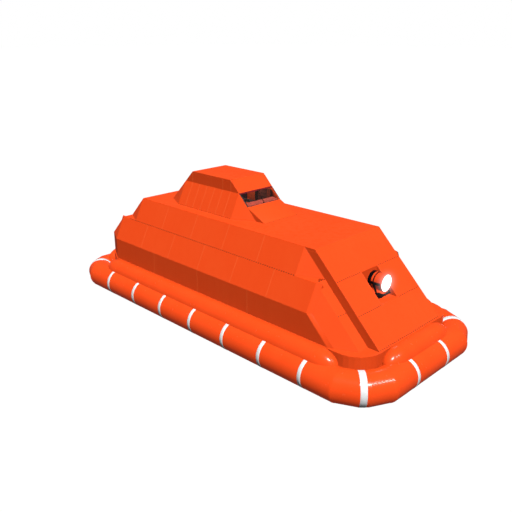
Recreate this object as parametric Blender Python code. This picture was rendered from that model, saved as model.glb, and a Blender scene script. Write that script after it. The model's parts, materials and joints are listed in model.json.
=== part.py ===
"""Enclosed lifeboat with a faceted canopy on a ring of buoyancy tubes, in metres, +X forward, +Y port, +Z up.

The drawing frame has z = 0 on the deck and x = 0 amidships. Every object hangs on one empty, BOAT, which
moves that frame so that the middle of the flat hull bottom's bounding box is the world's origin.
"""
import math
from itertools import combinations

import bmesh
import bpy
from mathutils import Matrix, Vector

# Driving dimensions, drawing frame
GAP = 0.0003
WALL = 0.05
CABIN_WALL = 0.04
TIER = 0.5
BAND_TOP = TIER
LEDGE = 2 * TIER
ROOF = 3 * TIER
SPLIT_Y = 1.0
BAND_Y = 1.5
STERN_X = -3.5
DECK_FRONT = 4.25

# Deck slab, with round bow corners
DECK_THICK = 0.25
DECK_EDGE = 0.02
DECK_CORNER = 0.52
DECK_CORNER_X = 3.75

# Outer ring of buoyancy tubes
COLLAR_R = 0.31
COLLAR_Z = -0.48
COLLAR_Y = 1.70
COLLAR_BOW_X = 4.485
COLLAR_STERN_X = -3.78
COLLAR_BOW_BEND = 0.70
COLLAR_STERN_BEND = 0.40
COLLAR_SIDES = 24
BEND_STEPS = 8

# Upper tubes along the deck edge, oval, with rounded ends, bedded on the ring
FENDER_WIDE = 0.22
FENDER_TALL = 0.27
FENDER_NOSE = 0.44
FENDER_Z = -0.24
FENDER_OUT = 0.11
FENDER_SIDE_ENDS = (-2.75, 3.37)
FENDER_BOW_END = 0.545
FENDER_STERN_END = 0.94

# Hull below the deck
KEEL_Z = -1.04
CHINE_Z = -0.75
CHINE_INSET = 0.29
TUNNEL_FRONT = -2.62
TUNNEL_HALF = 0.34
TUNNEL_TOP = -0.42

# Wheelhouse
CUPOLA_Y = 0.5
CUPOLA_TOP = 2.25
CUPOLA_SHOULDER = 2.0
WINDOW_LOW = 1.75
GLASS = 0.012
WELL_FRONT = 0.12
WELL_BACK = -1.35
WELL_HALF = 0.44

# Searchlight and its recess in the bow ramp
NICHE_HALF = 0.25
NICHE_BACK = 3.25
NICHE_FLOOR = 0.5
NICHE_WALL = 0.02
LAMP_X = 3.49
LAMP_Z = 0.82
LAMP_R = 0.17
LAMP_HALF = 0.16
RIM_WIDE = 0.012
LENS_DEEP = 0.02
TRUNNION_R = 0.015
FOOT_TALL = 0.03
FOOT_R = 0.08
BOSS_R = 0.045
BOSS_TALL = 0.03
YOKE_IN = 0.185
YOKE_THICK = 0.018
YOKE_HALF = 0.018
YOKE_FORWARD = 0.11
YOKE_ABOVE_PIN = 0.025
CLAMP_WIDE = 0.045
RING_AT = 0.12
RING_WIDE = 0.014
RAIL_HALF = 0.017
RAIL_OUT = 0.178

# Stern hatch on the sloping stern
HATCH_OPENING = 0.40
HATCH_LID = 0.46
HATCH_TOP = 0.22
HATCH_DROP = 0.86
LID_THICK = 0.035
HINGE_R = 0.014
HINGE_LIFT = 0.004
HINGE_SET_BACK = 0.003
KNUCKLE_Y = 0.30
KNUCKLE_LONG = 0.08
LEAF_LONG = 0.05

# Propeller and rudder, in the tunnel under the stern
SHAFT_Z = -0.745
SHAFT_R = 0.022
PROP_X = -2.86
PROP_R = 0.255
BLADES = 4
RUDDER_X = -3.12
RUDDER_LOW = -1.0
RUDDER_HIGH = -0.50
RUDDER_THICK = 0.05
RUDDER_LONG = 0.30
STOCK_R = 0.02

# Helm under the wheelhouse
CONSOLE_BACK = 0.16
CONSOLE_TOP = 1.72
CONSOLE_HALF = 0.40
CONSOLE_TO_GLASS = 0.04
WHEEL_AT = (0.095, -0.16, 1.63)
WHEEL_R = 0.14
RIM_R = 0.011
SPOKES = 3
STEM_R = 0.012
SEAT_X = -0.78
SEAT_TOP = 1.15
SEAT_HALF = 0.22
CUSHION_THICK = 0.09
PILLAR_R = 0.05
PLATE_R = 0.15
ENGINE_LOW = (-2.30, -0.33)
ENGINE_HIGH = (-1.45, 0.33, 0.62)

# Colours: base colour, roughness, metallic
ORANGE = ("orange_grp", (1.0, 0.093, 0.016), 0.45, 0.0)
TUBE = ("orange_tube", (1.0, 0.085, 0.013), 0.3, 0.0)
BLACK = ("black_paint", (0.01, 0.01, 0.012), 0.5, 0.2)
GLASS_TINT = ("window_glass", (0.25, 0.32, 0.36), 0.05, 0.0)
LENS = ("lamp_lens", (1.0, 1.0, 1.0), 0.1, 0.0)
STEEL = ("stainless_steel", (0.62, 0.62, 0.63), 0.3, 1.0)
BRONZE = ("bronze", (0.60, 0.38, 0.16), 0.35, 1.0)
GREY = ("grey_paint", (0.24, 0.26, 0.27), 0.55, 0.0)
CUSHION = ("seat_cover", (0.05, 0.05, 0.055), 0.8, 0.0)


def clear_scene():
    for obj in list(bpy.data.objects):
        bpy.data.objects.remove(obj, do_unlink=True)


def material(spec):
    """One Principled BSDF material for each colour."""
    name, colour, roughness, metallic = spec
    mat = bpy.data.materials.get(name)
    if mat is None:
        mat = bpy.data.materials.new(name)
        mat.use_nodes = True
        shader = mat.node_tree.nodes["Principled BSDF"]
        shader.inputs["Base Color"].default_value = (*colour, 1.0)
        shader.inputs["Roughness"].default_value = roughness
        shader.inputs["Metallic"].default_value = metallic
    return mat


def add_object(name, bm, spec, parent=None, smooth=False):
    """Turn a bmesh into a closed object with its faces pointing out."""
    bmesh.ops.recalc_face_normals(bm, faces=bm.faces)
    mesh = bpy.data.meshes.new(name)
    bm.to_mesh(mesh)
    bm.free()
    mesh.materials.append(material(spec))
    if smooth:
        mesh.shade_smooth()
        mesh.set_sharp_from_angle(angle=math.radians(35))
    obj = bpy.data.objects.new(name, mesh)
    bpy.context.scene.collection.objects.link(obj)
    obj.parent = parent
    return obj


def boolean(target, tool, operation):
    """Apply one exact Boolean to the target's mesh and delete the tool."""
    modifier = target.modifiers.new(operation.lower(), "BOOLEAN")
    modifier.operation = operation
    modifier.solver = "EXACT"
    modifier.object = tool
    tool.hide_render = True
    tool.display_type = "WIRE"
    graph = bpy.context.evaluated_depsgraph_get()
    result = bpy.data.meshes.new_from_object(target.evaluated_get(graph))
    target.modifiers.remove(modifier)
    target.data = result
    bpy.data.objects.remove(tool, do_unlink=True)
    return target


def joined(name, pieces):
    """One closed body from pieces that overlap."""
    body = pieces[0]
    for piece in pieces[1:]:
        boolean(body, piece, "UNION")
    body.name = name
    return body


# Solids bounded by planes: a plane is (nx, ny, nz, d) and keeps the side where n.p <= d

def mirrored(plane, side):
    nx, ny, nz, d = plane
    return (nx, ny * side, nz, d)


def unit(plane):
    length = math.sqrt(sum(c * c for c in plane[:3]))
    return tuple(c / length for c in plane)


def behind(plane, depth):
    """The far side of a wall of this depth under the plane."""
    nx, ny, nz, d = unit(plane)
    return (-nx, -ny, -nz, depth - d)


def under(plane, depth):
    """The same plane moved in by a depth, still keeping the inside."""
    nx, ny, nz, d = unit(plane)
    return (nx, ny, nz, d - depth)


def plane_solid(name, planes, spec, parent=None):
    """The convex solid inside all the planes."""
    planes = [unit(p) for p in planes]
    corners = []
    for trio in combinations(planes, 3):
        matrix = Matrix([p[:3] for p in trio])
        if abs(matrix.determinant()) < 1e-6:
            continue
        point = matrix.inverted() @ Vector([p[3] for p in trio])
        inside = all(sum(p[i] * point[i] for i in range(3)) <= p[3] + 1e-6 for p in planes)
        if inside and all((point - c).length > 2e-5 for c in corners):
            corners.append(point)
    bm = bmesh.new()
    for corner in corners:
        bm.verts.new(corner)
    hull = bmesh.ops.convex_hull(bm, input=bm.verts)
    spare = hull["geom_interior"] + hull["geom_unused"]
    spare = list({g for g in spare if isinstance(g, bmesh.types.BMVert)})
    bmesh.ops.delete(bm, geom=spare, context="VERTS")
    bmesh.ops.dissolve_limit(bm, angle_limit=0.002, verts=bm.verts, edges=bm.edges)
    return add_object(name, bm, spec, parent)


def wall(name, plane, depth, clips, spec, parent):
    """A plate under a plane, cut by clips."""
    return plane_solid(name, [plane, behind(plane, depth)] + clips, spec, parent)


def box(name, low, high, spec, parent=None):
    planes = []
    for axis in range(3):
        n = [0.0, 0.0, 0.0]
        n[axis] = 1.0
        planes.append((*n, high[axis]))
        planes.append((*[-c for c in n], -low[axis]))
    return plane_solid(name, planes, spec, parent)


# Turned, bent and extruded solids

def turned(name, profile, sides, start, direction, spec, parent=None, smooth=True):
    """Turn a profile of (along, radius) points, from pole to pole or closed on itself, about a line."""
    bm = bmesh.new()
    turn = Vector(direction).to_track_quat("Z", "Y").to_matrix().to_4x4()
    place = Matrix.Translation(Vector(start)) @ turn
    rings = []
    closed = profile[0] == profile[-1]
    for along, radius in profile[:-1] if closed else profile:
        if radius == 0:
            rings.append([bm.verts.new(place @ Vector((0, 0, along)))])
            continue
        ring = []
        for i in range(sides):
            angle = math.tau * i / sides
            point = Vector((radius * math.cos(angle), radius * math.sin(angle), along))
            ring.append(bm.verts.new(place @ point))
        rings.append(ring)
    if closed:
        rings.append(rings[0])
    for low, high in zip(rings, rings[1:]):
        for i in range(sides):
            j = (i + 1) % sides
            corner = [low[i % len(low)], low[j % len(low)], high[j % len(high)], high[i % len(high)]]
            bm.faces.new(list(dict.fromkeys(corner)))
    return add_object(name, bm, spec, parent, smooth)


def oval_tube(name, start, end, clearance=0.0, parent=None, sides=24, steps=5):
    """An upper tube, or its seat with a clearance; start and end are the centres of its rounded ends."""
    wide = FENDER_WIDE + clearance
    nose = FENDER_NOSE + clearance
    run = Vector(end) - Vector(start)
    profile = []
    for i in range(steps + 1):
        angle = math.pi / 2 * i / steps
        profile.append((-nose * math.cos(angle), wide * math.sin(angle)))
    profile += [(run.length - along, r) for along, r in reversed(profile)]
    profile[0] = (profile[0][0], 0)
    profile[-1] = (profile[-1][0], 0)
    tube = turned(name, profile, sides, start, run, TUBE, parent)
    centre = Matrix.Translation(start)
    taller = Matrix.Diagonal((1, 1, (FENDER_TALL + clearance) / wide, 1))
    tube.data.transform(centre @ taller @ centre.inverted())
    return tube


def tube_along(name, stations, radius, parent, closed=False):
    """A level tube through stations, each a centre and the way out of the ring there."""
    bm = bmesh.new()
    rings = []
    for centre, out in stations:
        ring = []
        for i in range(COLLAR_SIDES):
            angle = math.tau * i / COLLAR_SIDES
            lift = Vector((0, 0, radius * math.sin(angle)))
            ring.append(bm.verts.new(centre + out * radius * math.cos(angle) + lift))
        rings.append(ring)
    if closed:
        rings.append(rings[0])
    else:
        bm.faces.new(rings[0])
        bm.faces.new(rings[-1])
    for low, high in zip(rings, rings[1:]):
        for i in range(COLLAR_SIDES):
            j = (i + 1) % COLLAR_SIDES
            bm.faces.new([low[i], low[j], high[j], high[i]])
    return add_object(name, bm, TUBE, parent, smooth=True)


def layers(name, outlines, spec, parent=None, twisted=False):
    """Join closed outlines of equal length, each a list of 3-D points; twisted faces are split in two."""
    bm = bmesh.new()
    rings = [[bm.verts.new(p) for p in outline] for outline in outlines]
    for low, high in zip(rings, rings[1:]):
        count = len(low)
        for i in range(count):
            j = (i + 1) % count
            bm.faces.new([low[i], low[j], high[j], high[i]])
    bm.faces.new(rings[0])
    bm.faces.new(rings[-1])
    if twisted:
        bmesh.ops.triangulate(bm, faces=bm.faces)
    return add_object(name, bm, spec, parent)


def arc(centre, radius, start, end, steps):
    cx, cy = centre
    points = []
    for k in range(steps + 1):
        angle = start + (end - start) * k / steps
        points.append((cx + radius * math.cos(angle), cy + radius * math.sin(angle)))
    return points


def plan_with_bends(bow_centre, bow_r, stern_centre, stern_r, steps=BEND_STEPS):
    """A plan outline with round corners, one pair at the bow and one at the stern."""
    quarter = math.pi / 2
    points = arc((bow_centre[0], -bow_centre[1]), bow_r, -quarter, 0, steps)
    points += arc(bow_centre, bow_r, 0, quarter, steps)
    points += arc(stern_centre, stern_r, quarter, 2 * quarter, steps)
    points += arc((stern_centre[0], -stern_centre[1]), stern_r, 2 * quarter, 3 * quarter, steps)
    return points


# Hull, deck and tubes

def fender_lines():
    """Name, start and end of each upper tube's centre line."""
    side_y = BAND_Y + FENDER_OUT
    aft, fore = FENDER_SIDE_ENDS
    bow_x = DECK_FRONT + FENDER_OUT
    stern_x = STERN_X - FENDER_OUT
    return [
        ("stbd", (aft, -side_y, FENDER_Z), (fore, -side_y, FENDER_Z)),
        ("port", (aft, side_y, FENDER_Z), (fore, side_y, FENDER_Z)),
        ("bow", (bow_x, -FENDER_BOW_END, FENDER_Z), (bow_x, FENDER_BOW_END, FENDER_Z)),
        ("stern", (stern_x, -FENDER_STERN_END, FENDER_Z), (stern_x, FENDER_STERN_END, FENDER_Z)),
    ]


def ring_corners():
    """Middles of the ring's port bends in plan, at the bow and at the stern."""
    bow = (COLLAR_BOW_X - COLLAR_BOW_BEND, COLLAR_Y - COLLAR_BOW_BEND)
    stern = (COLLAR_STERN_X + COLLAR_STERN_BEND, COLLAR_Y - COLLAR_STERN_BEND)
    return bow, stern


def build_hull(boat):
    bow, stern = ring_corners()
    bow_r = COLLAR_BOW_BEND - COLLAR_R - 2 * GAP
    stern_r = COLLAR_STERN_BEND - COLLAR_R - 2 * GAP
    rim = plan_with_bends(bow, bow_r, stern, stern_r)
    keel_bow = (bow[0] - CHINE_INSET, bow[1] - CHINE_INSET)
    keel_stern = (stern[0], stern[1] - CHINE_INSET)
    keel = plan_with_bends(keel_bow, bow_r, keel_stern, stern_r)
    outlines = [
        [(x, y, KEEL_Z) for x, y in keel],
        [(x, y, CHINE_Z) for x, y in rim],
        [(x, y, -DECK_THICK - GAP) for x, y in rim],
    ]
    hull = layers("hull", outlines, ORANGE, boat)
    for _, start, end in fender_lines():
        boolean(hull, oval_tube("seat", start, end, GAP, boat), "DIFFERENCE")
    low = (STERN_X - 1, -TUNNEL_HALF, KEEL_Z - 1)
    high = (TUNNEL_FRONT, TUNNEL_HALF, TUNNEL_TOP)
    boolean(hull, box("tunnel", low, high, ORANGE, boat), "DIFFERENCE")


def build_deck(boat):
    edge_y = BAND_Y + DECK_EDGE
    stern_x = STERN_X - DECK_EDGE
    corner = (DECK_CORNER_X, edge_y - DECK_CORNER)
    plan = arc((corner[0], -corner[1]), DECK_CORNER, -math.pi / 2, 0, BEND_STEPS)
    plan += arc(corner, DECK_CORNER, 0, math.pi / 2, BEND_STEPS)
    chamfer_x = STERN_X + TIER
    stern_y = edge_y - 0.5 * TIER
    plan += [(chamfer_x, edge_y), (stern_x, stern_y), (stern_x, -stern_y), (chamfer_x, -edge_y)]
    deck = layers("deck", [[(x, y, z) for x, y in plan] for z in (-DECK_THICK, 0.0)], ORANGE, boat)
    for name, start, end in fender_lines():
        boolean(deck, oval_tube("seat", start, end, GAP, boat), "DIFFERENCE")
    boolean(deck, ring_bed(boat), "DIFFERENCE")


def ring_bends():
    """Name and stations of each bend of the ring, in order from the starboard bow round by port."""
    bow, stern = ring_corners()
    quarter = math.pi / 2
    # Columns: name, middle of the bend in plan, bend radius, start angle
    table = [
        ("bow_stbd", (bow[0], -bow[1]), COLLAR_BOW_BEND, -quarter),
        ("bow_port", bow, COLLAR_BOW_BEND, 0.0),
        ("stern_port", stern, COLLAR_STERN_BEND, quarter),
        ("stern_stbd", (stern[0], -stern[1]), COLLAR_STERN_BEND, 2 * quarter),
    ]
    bends = []
    for name, (x, y), bend_radius, start in table:
        stations = []
        for k in range(BEND_STEPS + 1):
            turn = start + quarter * k / BEND_STEPS
            out = Vector((math.cos(turn), math.sin(turn), 0))
            stations.append((Vector((x, y, COLLAR_Z)) + bend_radius * out, out))
        bends.append((name, stations))
    return bends


def ring_bed(boat):
    """The whole ring as one loop, a gap fatter, to cut what beds on it."""
    stations = [station for _, bend in ring_bends() for station in bend]
    return tube_along("bed", stations, COLLAR_R + GAP, boat, closed=True)


def build_ring(boat):
    """Four bends, and a straight tube after each, a gap short at both ends."""
    bends = ring_bends()
    for k, (name, stations) in enumerate(bends):
        tube_along("collar_" + name, stations, COLLAR_R, boat)
        start, out = stations[-1]
        end = bends[(k + 1) % len(bends)][1][0][0]
        short = (end - start).normalized() * GAP
        where = ("bow", "port", "stern", "stbd")[k]
        tube_along("collar_" + where, [(start + short, out), (end - short, out)], COLLAR_R, boat)


def build_fenders(boat):
    """Upper tubes, hollowed underneath where they bed on the ring."""
    for where, start, end in fender_lines():
        fender = oval_tube("upper_tube_" + where, start, end, parent=boat)
        boolean(fender, ring_bed(boat), "DIFFERENCE")


# Canopy: outer planes of the port half, mirrored for starboard

BAND = (0, 1, 0, BAND_Y)
SLOPE = (0, 2, 1, 3.5)
FRONT = (1, 0, 1, 4.0)
RAMP = (1, 0, 1, 4.25)
BOW_FACET = (1, 2, 1, 6.5)
BOW_FACET_UP = (1, 2, 1, 6.0)
STERN = (-1, 0, 0, -STERN_X)
STERN_SLOPE = (-1, 0, 1, 4.0)
STERN_CHAMFER = (-1, 2, 0, 6.0)
STERN_FACET = (-1, 2, 1, 6.5)
STERN_FACET_UP = (-1, 2, 1, 6.0)
BOW_LEDGE_EDGE = (-1, -2, 0, -4.86)
STERN_LEDGE_EDGE = (1, -2, 0, -4.86)


def below(z):
    return (0, 0, 1, z)


def above(z):
    return (0, 0, -1, -z)


def outboard(y, side):
    return (0, -side, 0, -y)


def build_side(boat, side, where):
    """Band and two sloping tiers of one side; they run through, and the corners fit between them."""
    inboard_edge = outboard(SPLIT_Y + GAP, side)
    # Columns: name, face, bow end, stern end, other limits
    strips = [
        ("side_band_", BAND, BOW_FACET, STERN_CHAMFER, [above(GAP), below(BAND_TOP)]),
        ("side_lower_", SLOPE, BOW_FACET, STERN_FACET, [above(BAND_TOP + GAP), below(LEDGE)]),
        ("side_upper_", SLOPE, BOW_FACET_UP, STERN_FACET_UP, [above(LEDGE + GAP), below(ROOF), inboard_edge]),
    ]
    for name, face, bow_end, stern_end, limits in strips:
        clips = limits + [mirrored(bow_end, side), mirrored(stern_end, side)]
        wall(name + where, mirrored(face, side), WALL, clips, ORANGE, boat)


def build_corner(boat, name, side, skin, facet_up, ledge_edge):
    """One corner moulding: the facets in skin, the ledge between the tiers and the small upper facet."""
    skin = [mirrored(plane, side) for plane in skin]
    slope = mirrored(SLOPE, side)
    facet_up = mirrored(facet_up, side)
    fit = [above(GAP), outboard(SPLIT_Y + GAP, side), under(slope, WALL + GAP),
           under(mirrored(BAND, side), WALL + GAP), mirrored(ledge_edge, side)]
    moulding = plane_solid(name, skin + fit + [below(LEDGE)], ORANGE, boat)
    room = [under(plane, WALL) for plane in skin] + [below(LEDGE - WALL), above(-1)]
    room += [(0, side, 0, BAND_Y + 1), (0, -side, 0, 0), (-1, 0, 0, 5), (1, 0, 0, 5)]
    boolean(moulding, plane_solid("room", room, ORANGE, boat), "DIFFERENCE")
    nudge = 0.5 * GAP
    upper = [facet_up, behind(facet_up, WALL), below(ROOF), above(LEDGE - 0.5 * WALL),
             outboard(SPLIT_Y + GAP + nudge, side), under(slope, WALL + GAP + nudge)]
    return boolean(moulding, plane_solid("upper", upper, ORANGE, boat), "UNION")


def build_stern(boat):
    """Upright stern board, sloping stern with its hatch opening, and the hinged hatch."""
    clips = [above(GAP), (0, 1, 0, SPLIT_Y), (0, -1, 0, SPLIT_Y), STERN_SLOPE, below(BAND_TOP)]
    wall("stern_board", STERN, WALL, clips, ORANGE, boat)
    clips = [above(BAND_TOP + GAP), (0, 1, 0, SPLIT_Y), (0, -1, 0, SPLIT_Y), STERN, below(ROOF - WALL - GAP)]
    slope = wall("stern_slope", STERN_SLOPE, WALL, clips, ORANGE, boat)
    frame = hatch_frame()
    hole = box("hole", (HATCH_LID - HATCH_OPENING, -HATCH_OPENING, -1),
               (HATCH_DROP - (HATCH_LID - HATCH_OPENING), HATCH_OPENING, 1), ORANGE)
    hole.data.transform(frame)
    hole.parent = boat
    boolean(slope, hole, "DIFFERENCE")


def hatch_frame():
    """Drawing frame of the hatch: X down the slope, Y to starboard, Z out, origin on the hinge's foot."""
    down = Vector((-1, 0, -1)).normalized()
    out = Vector((-1, 0, 1)).normalized()
    side = out.cross(down)
    top = Vector((STERN_X + TIER + TIER, 0, ROOF)) + down * HATCH_TOP
    frame = Matrix((down, side, out)).transposed().to_4x4()
    frame.translation = top
    return frame


def build_hatch(boat):
    """Lid with two hinge knuckles along its upper edge; its origin is on the hinge line."""
    pivot = HINGE_R + HINGE_LIFT
    set_back = HINGE_R + HINGE_SET_BACK
    frame = hatch_frame() @ Matrix.Translation((-set_back, 0, pivot))
    lid = box("lid", (set_back, -HATCH_LID, GAP - pivot), (HATCH_DROP, HATCH_LID, LID_THICK - pivot), ORANGE)
    pieces = [lid]
    half = 0.5 * KNUCKLE_LONG
    leaf_half = half - 0.001
    for y in (-KNUCKLE_Y, KNUCKLE_Y):
        knuckle = [(0, 0), (0, HINGE_R), (KNUCKLE_LONG, HINGE_R), (KNUCKLE_LONG, 0)]
        pieces.append(turned("knuckle", knuckle, 12, (0, y - half, 0), (0, 1, 0), STEEL))
        pieces.append(box("leaf", (0, y - leaf_half, -0.006), (LEAF_LONG, y + leaf_half, 0.012), STEEL))
    hatch = joined("stern_hatch", pieces)
    hatch.parent = boat
    hatch.matrix_local = frame


def build_roof(boat):
    """Roof plates, with the well under the wheelhouse cut out."""
    edges = [below(ROOF), above(ROOF - WALL), (0, 1, 0, SPLIT_Y), (0, -1, 0, SPLIT_Y)]
    seam = STERN_X + TIER + TIER + TIER
    plane_solid("roof_aft", edges + [STERN_SLOPE, (1, 0, 0, seam - GAP)], ORANGE, boat)
    roof = plane_solid("roof_main", edges + [RAMP, (-1, 0, 0, -seam)], ORANGE, boat)
    well = box("well", (WELL_BACK, -WELL_HALF, ROOF - 1), (WELL_FRONT, WELL_HALF, ROOF + 1), ORANGE, boat)
    boolean(roof, well, "DIFFERENCE")


def build_ramp(boat):
    """Thick bow ramp between the corners, with the searchlight niche let into it."""
    sides = [(0, 1, 0, SPLIT_Y), (0, -1, 0, SPLIT_Y)]
    clips = [RAMP, behind(FRONT, WALL), above(GAP), below(ROOF - WALL - GAP)] + sides
    ramp = plane_solid("bow_ramp", clips, ORANGE, boat)
    outer = NICHE_HALF + NICHE_WALL
    low = (NICHE_BACK - NICHE_WALL, -outer, NICHE_FLOOR - NICHE_WALL)
    hole = box("hole", low, (NICHE_BACK + 2, outer, LEDGE + TIER), ORANGE, boat)
    boolean(ramp, hole, "DIFFERENCE")
    flanks = [(0, 1, 0, outer - GAP), (0, -1, 0, outer - GAP)]
    shell = [RAMP, (-1, 0, 0, -low[0] - GAP), above(low[2] + GAP)] + flanks
    niche = plane_solid("light_niche", shell, ORANGE, boat)
    low = (NICHE_BACK, -NICHE_HALF, NICHE_FLOOR)
    room = box("room", low, (NICHE_BACK + 2, NICHE_HALF, ROOF), ORANGE, boat)
    boolean(niche, room, "DIFFERENCE")


# Wheelhouse planes, port half

CUP_SLOPE = (0, 2, 1, 3.0)
CUP_BAND = (0, 1, 0, CUPOLA_Y)
CUP_FRONT = (1, 0, 1, 2.25)
CUP_AFT = (-1, 0, 1, 3.5)
CUP_FACET = (1, 2, 1, 3.25)
CUP_FACET_AFT = (-1, 2, 1, 4.5)
APRON = (1, 0, 2, 4.0)


def build_wheelhouse(boat):
    stand = above(ROOF + GAP)
    top = below(CUPOLA_TOP - CABIN_WALL - GAP)
    post = CUPOLA_Y - CABIN_WALL
    for side, where in ((1, "port"), (-1, "stbd")):
        slope = mirrored(CUP_SLOPE, side)
        skin = [slope, mirrored(CUP_FACET, side), mirrored(CUP_FACET_AFT, side), CUP_FRONT, CUP_AFT]
        fit = [stand, below(CUPOLA_SHOULDER), outboard(post, side)]
        wall_side = plane_solid("wheelhouse_side_" + where, skin + fit, ORANGE, boat)
        room = [under(plane, CABIN_WALL) for plane in skin] + [above(0), below(3), (0, -side, 0, 0)]
        boolean(wall_side, plane_solid("room", room, ORANGE, boat), "DIFFERENCE")
        upright = [under(CUP_FRONT, GAP), under(CUP_AFT, GAP), above(CUPOLA_SHOULDER - 0.02), top]
        band = wall("band", mirrored(CUP_BAND, side), CABIN_WALL - 0.5 * GAP, upright, ORANGE, boat)
        boolean(wall_side, band, "UNION")
        rebate = [(1, 0, 1, 3), behind(CUP_FRONT, GLASS + GAP), above(WINDOW_LOW), below(CUPOLA_SHOULDER),
                  (0, side, 0, CUPOLA_Y + GAP), (0, -side, 0, 0)]
        boolean(wall_side, plane_solid("rebate", rebate, ORANGE, boat), "DIFFERENCE")
    between = [(0, 1, 0, post - GAP), (0, -1, 0, post - GAP)]
    across = [(0, 1, 0, CUPOLA_Y), (0, -1, 0, CUPOLA_Y)]
    lid = [below(CUPOLA_TOP), above(CUPOLA_TOP - CABIN_WALL), CUP_FRONT, CUP_AFT]
    plane_solid("wheelhouse_roof", lid + across, ORANGE, boat)
    wall("wheelhouse_back", CUP_AFT, CABIN_WALL, [stand, top] + between, ORANGE, boat)
    wall("wheelhouse_brow", CUP_FRONT, CABIN_WALL, [above(CUPOLA_SHOULDER), top] + between, ORANGE, boat)
    pane = [above(WINDOW_LOW + GAP), below(CUPOLA_SHOULDER - GAP)]
    wall("window", CUP_FRONT, GLASS, pane + across, GLASS_TINT, boat)
    plane_solid("wheelhouse_apron", [APRON, (-1, 0, -1, -CUP_FRONT[3] - GAP), stand] + across, ORANGE, boat)


# Helm, engine and searchlight

def build_helm(boat):
    """Console under the window, steering wheel, and the raised seat on its pillar."""
    glass = (1, 0, 1, CUP_FRONT[3] - CONSOLE_TO_GLASS)
    sides = [(0, 1, 0, CONSOLE_HALF), (0, -1, 0, CONSOLE_HALF), (-1, 0, 0, -CONSOLE_BACK)]
    plane_solid("helm_console", sides + [above(ROOF + GAP), below(CONSOLE_TOP), glass], GREY, boat)

    wheel = turned("rim", ring_profile(WHEEL_R, RIM_R), 32, (0, 0, 0), (1, 0, 0), BLACK)
    reach = CONSOLE_BACK - WHEEL_AT[0] - GAP
    # Hub and stem, from columns: along the axis, radius
    hub = [(-0.012, 0), (-0.012, 0.028), (0.014, 0.028), (0.020, STEM_R), (reach, STEM_R), (reach, 0)]
    boolean(wheel, turned("hub", hub, 16, (0, 0, 0), (1, 0, 0), BLACK), "UNION")
    for k in range(SPOKES):
        spoke = box("spoke", (-0.005, -0.010, 0.02), (0.005, 0.010, WHEEL_R), BLACK)
        spoke.data.transform(Matrix.Rotation(math.tau * k / SPOKES, 4, "X"))
        boolean(wheel, spoke, "UNION")
    wheel.name = "helm_wheel"
    wheel.parent = boat
    wheel.location = WHEEL_AT

    # Floor flange, pillar and the plate under the cushion, from columns: height, radius
    under_cushion = SEAT_TOP - CUSHION_THICK
    pillar = [(GAP, 0), (GAP, PLATE_R), (0.02, PLATE_R), (0.03, PILLAR_R), (under_cushion - 0.03, PILLAR_R),
              (under_cushion - 0.02, PLATE_R), (under_cushion, PLATE_R), (under_cushion, 0)]
    turned("seat_pillar", pillar, 16, (SEAT_X, 0, 0), (0, 0, 1), STEEL, boat)
    # Side view of the seat, from columns: forward of the pillar, above its plate
    side_view = [(-0.24, 0), (0.22, 0), (0.24, 0.03), (0.22, CUSHION_THICK), (-0.13, 0.08), (-0.21, 0.46),
                 (-0.28, 0.46), (-0.30, 0.40)]
    foot = under_cushion + GAP
    seat = [[(SEAT_X + x, y, foot + z) for x, z in side_view] for y in (-SEAT_HALF, SEAT_HALF)]
    layers("helm_seat", seat, CUSHION, boat)


def ring_profile(radius, thickness, steps=8):
    """Profile of a torus about the turning axis, closed on itself."""
    points = []
    for k in range(steps):
        angle = math.tau * k / steps
        points.append((thickness * math.sin(angle), radius + thickness * math.cos(angle)))
    return points + points[:1]


def build_engine(boat):
    box("engine_block", (*ENGINE_LOW, GAP), ENGINE_HIGH, GREY, boat)


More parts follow.
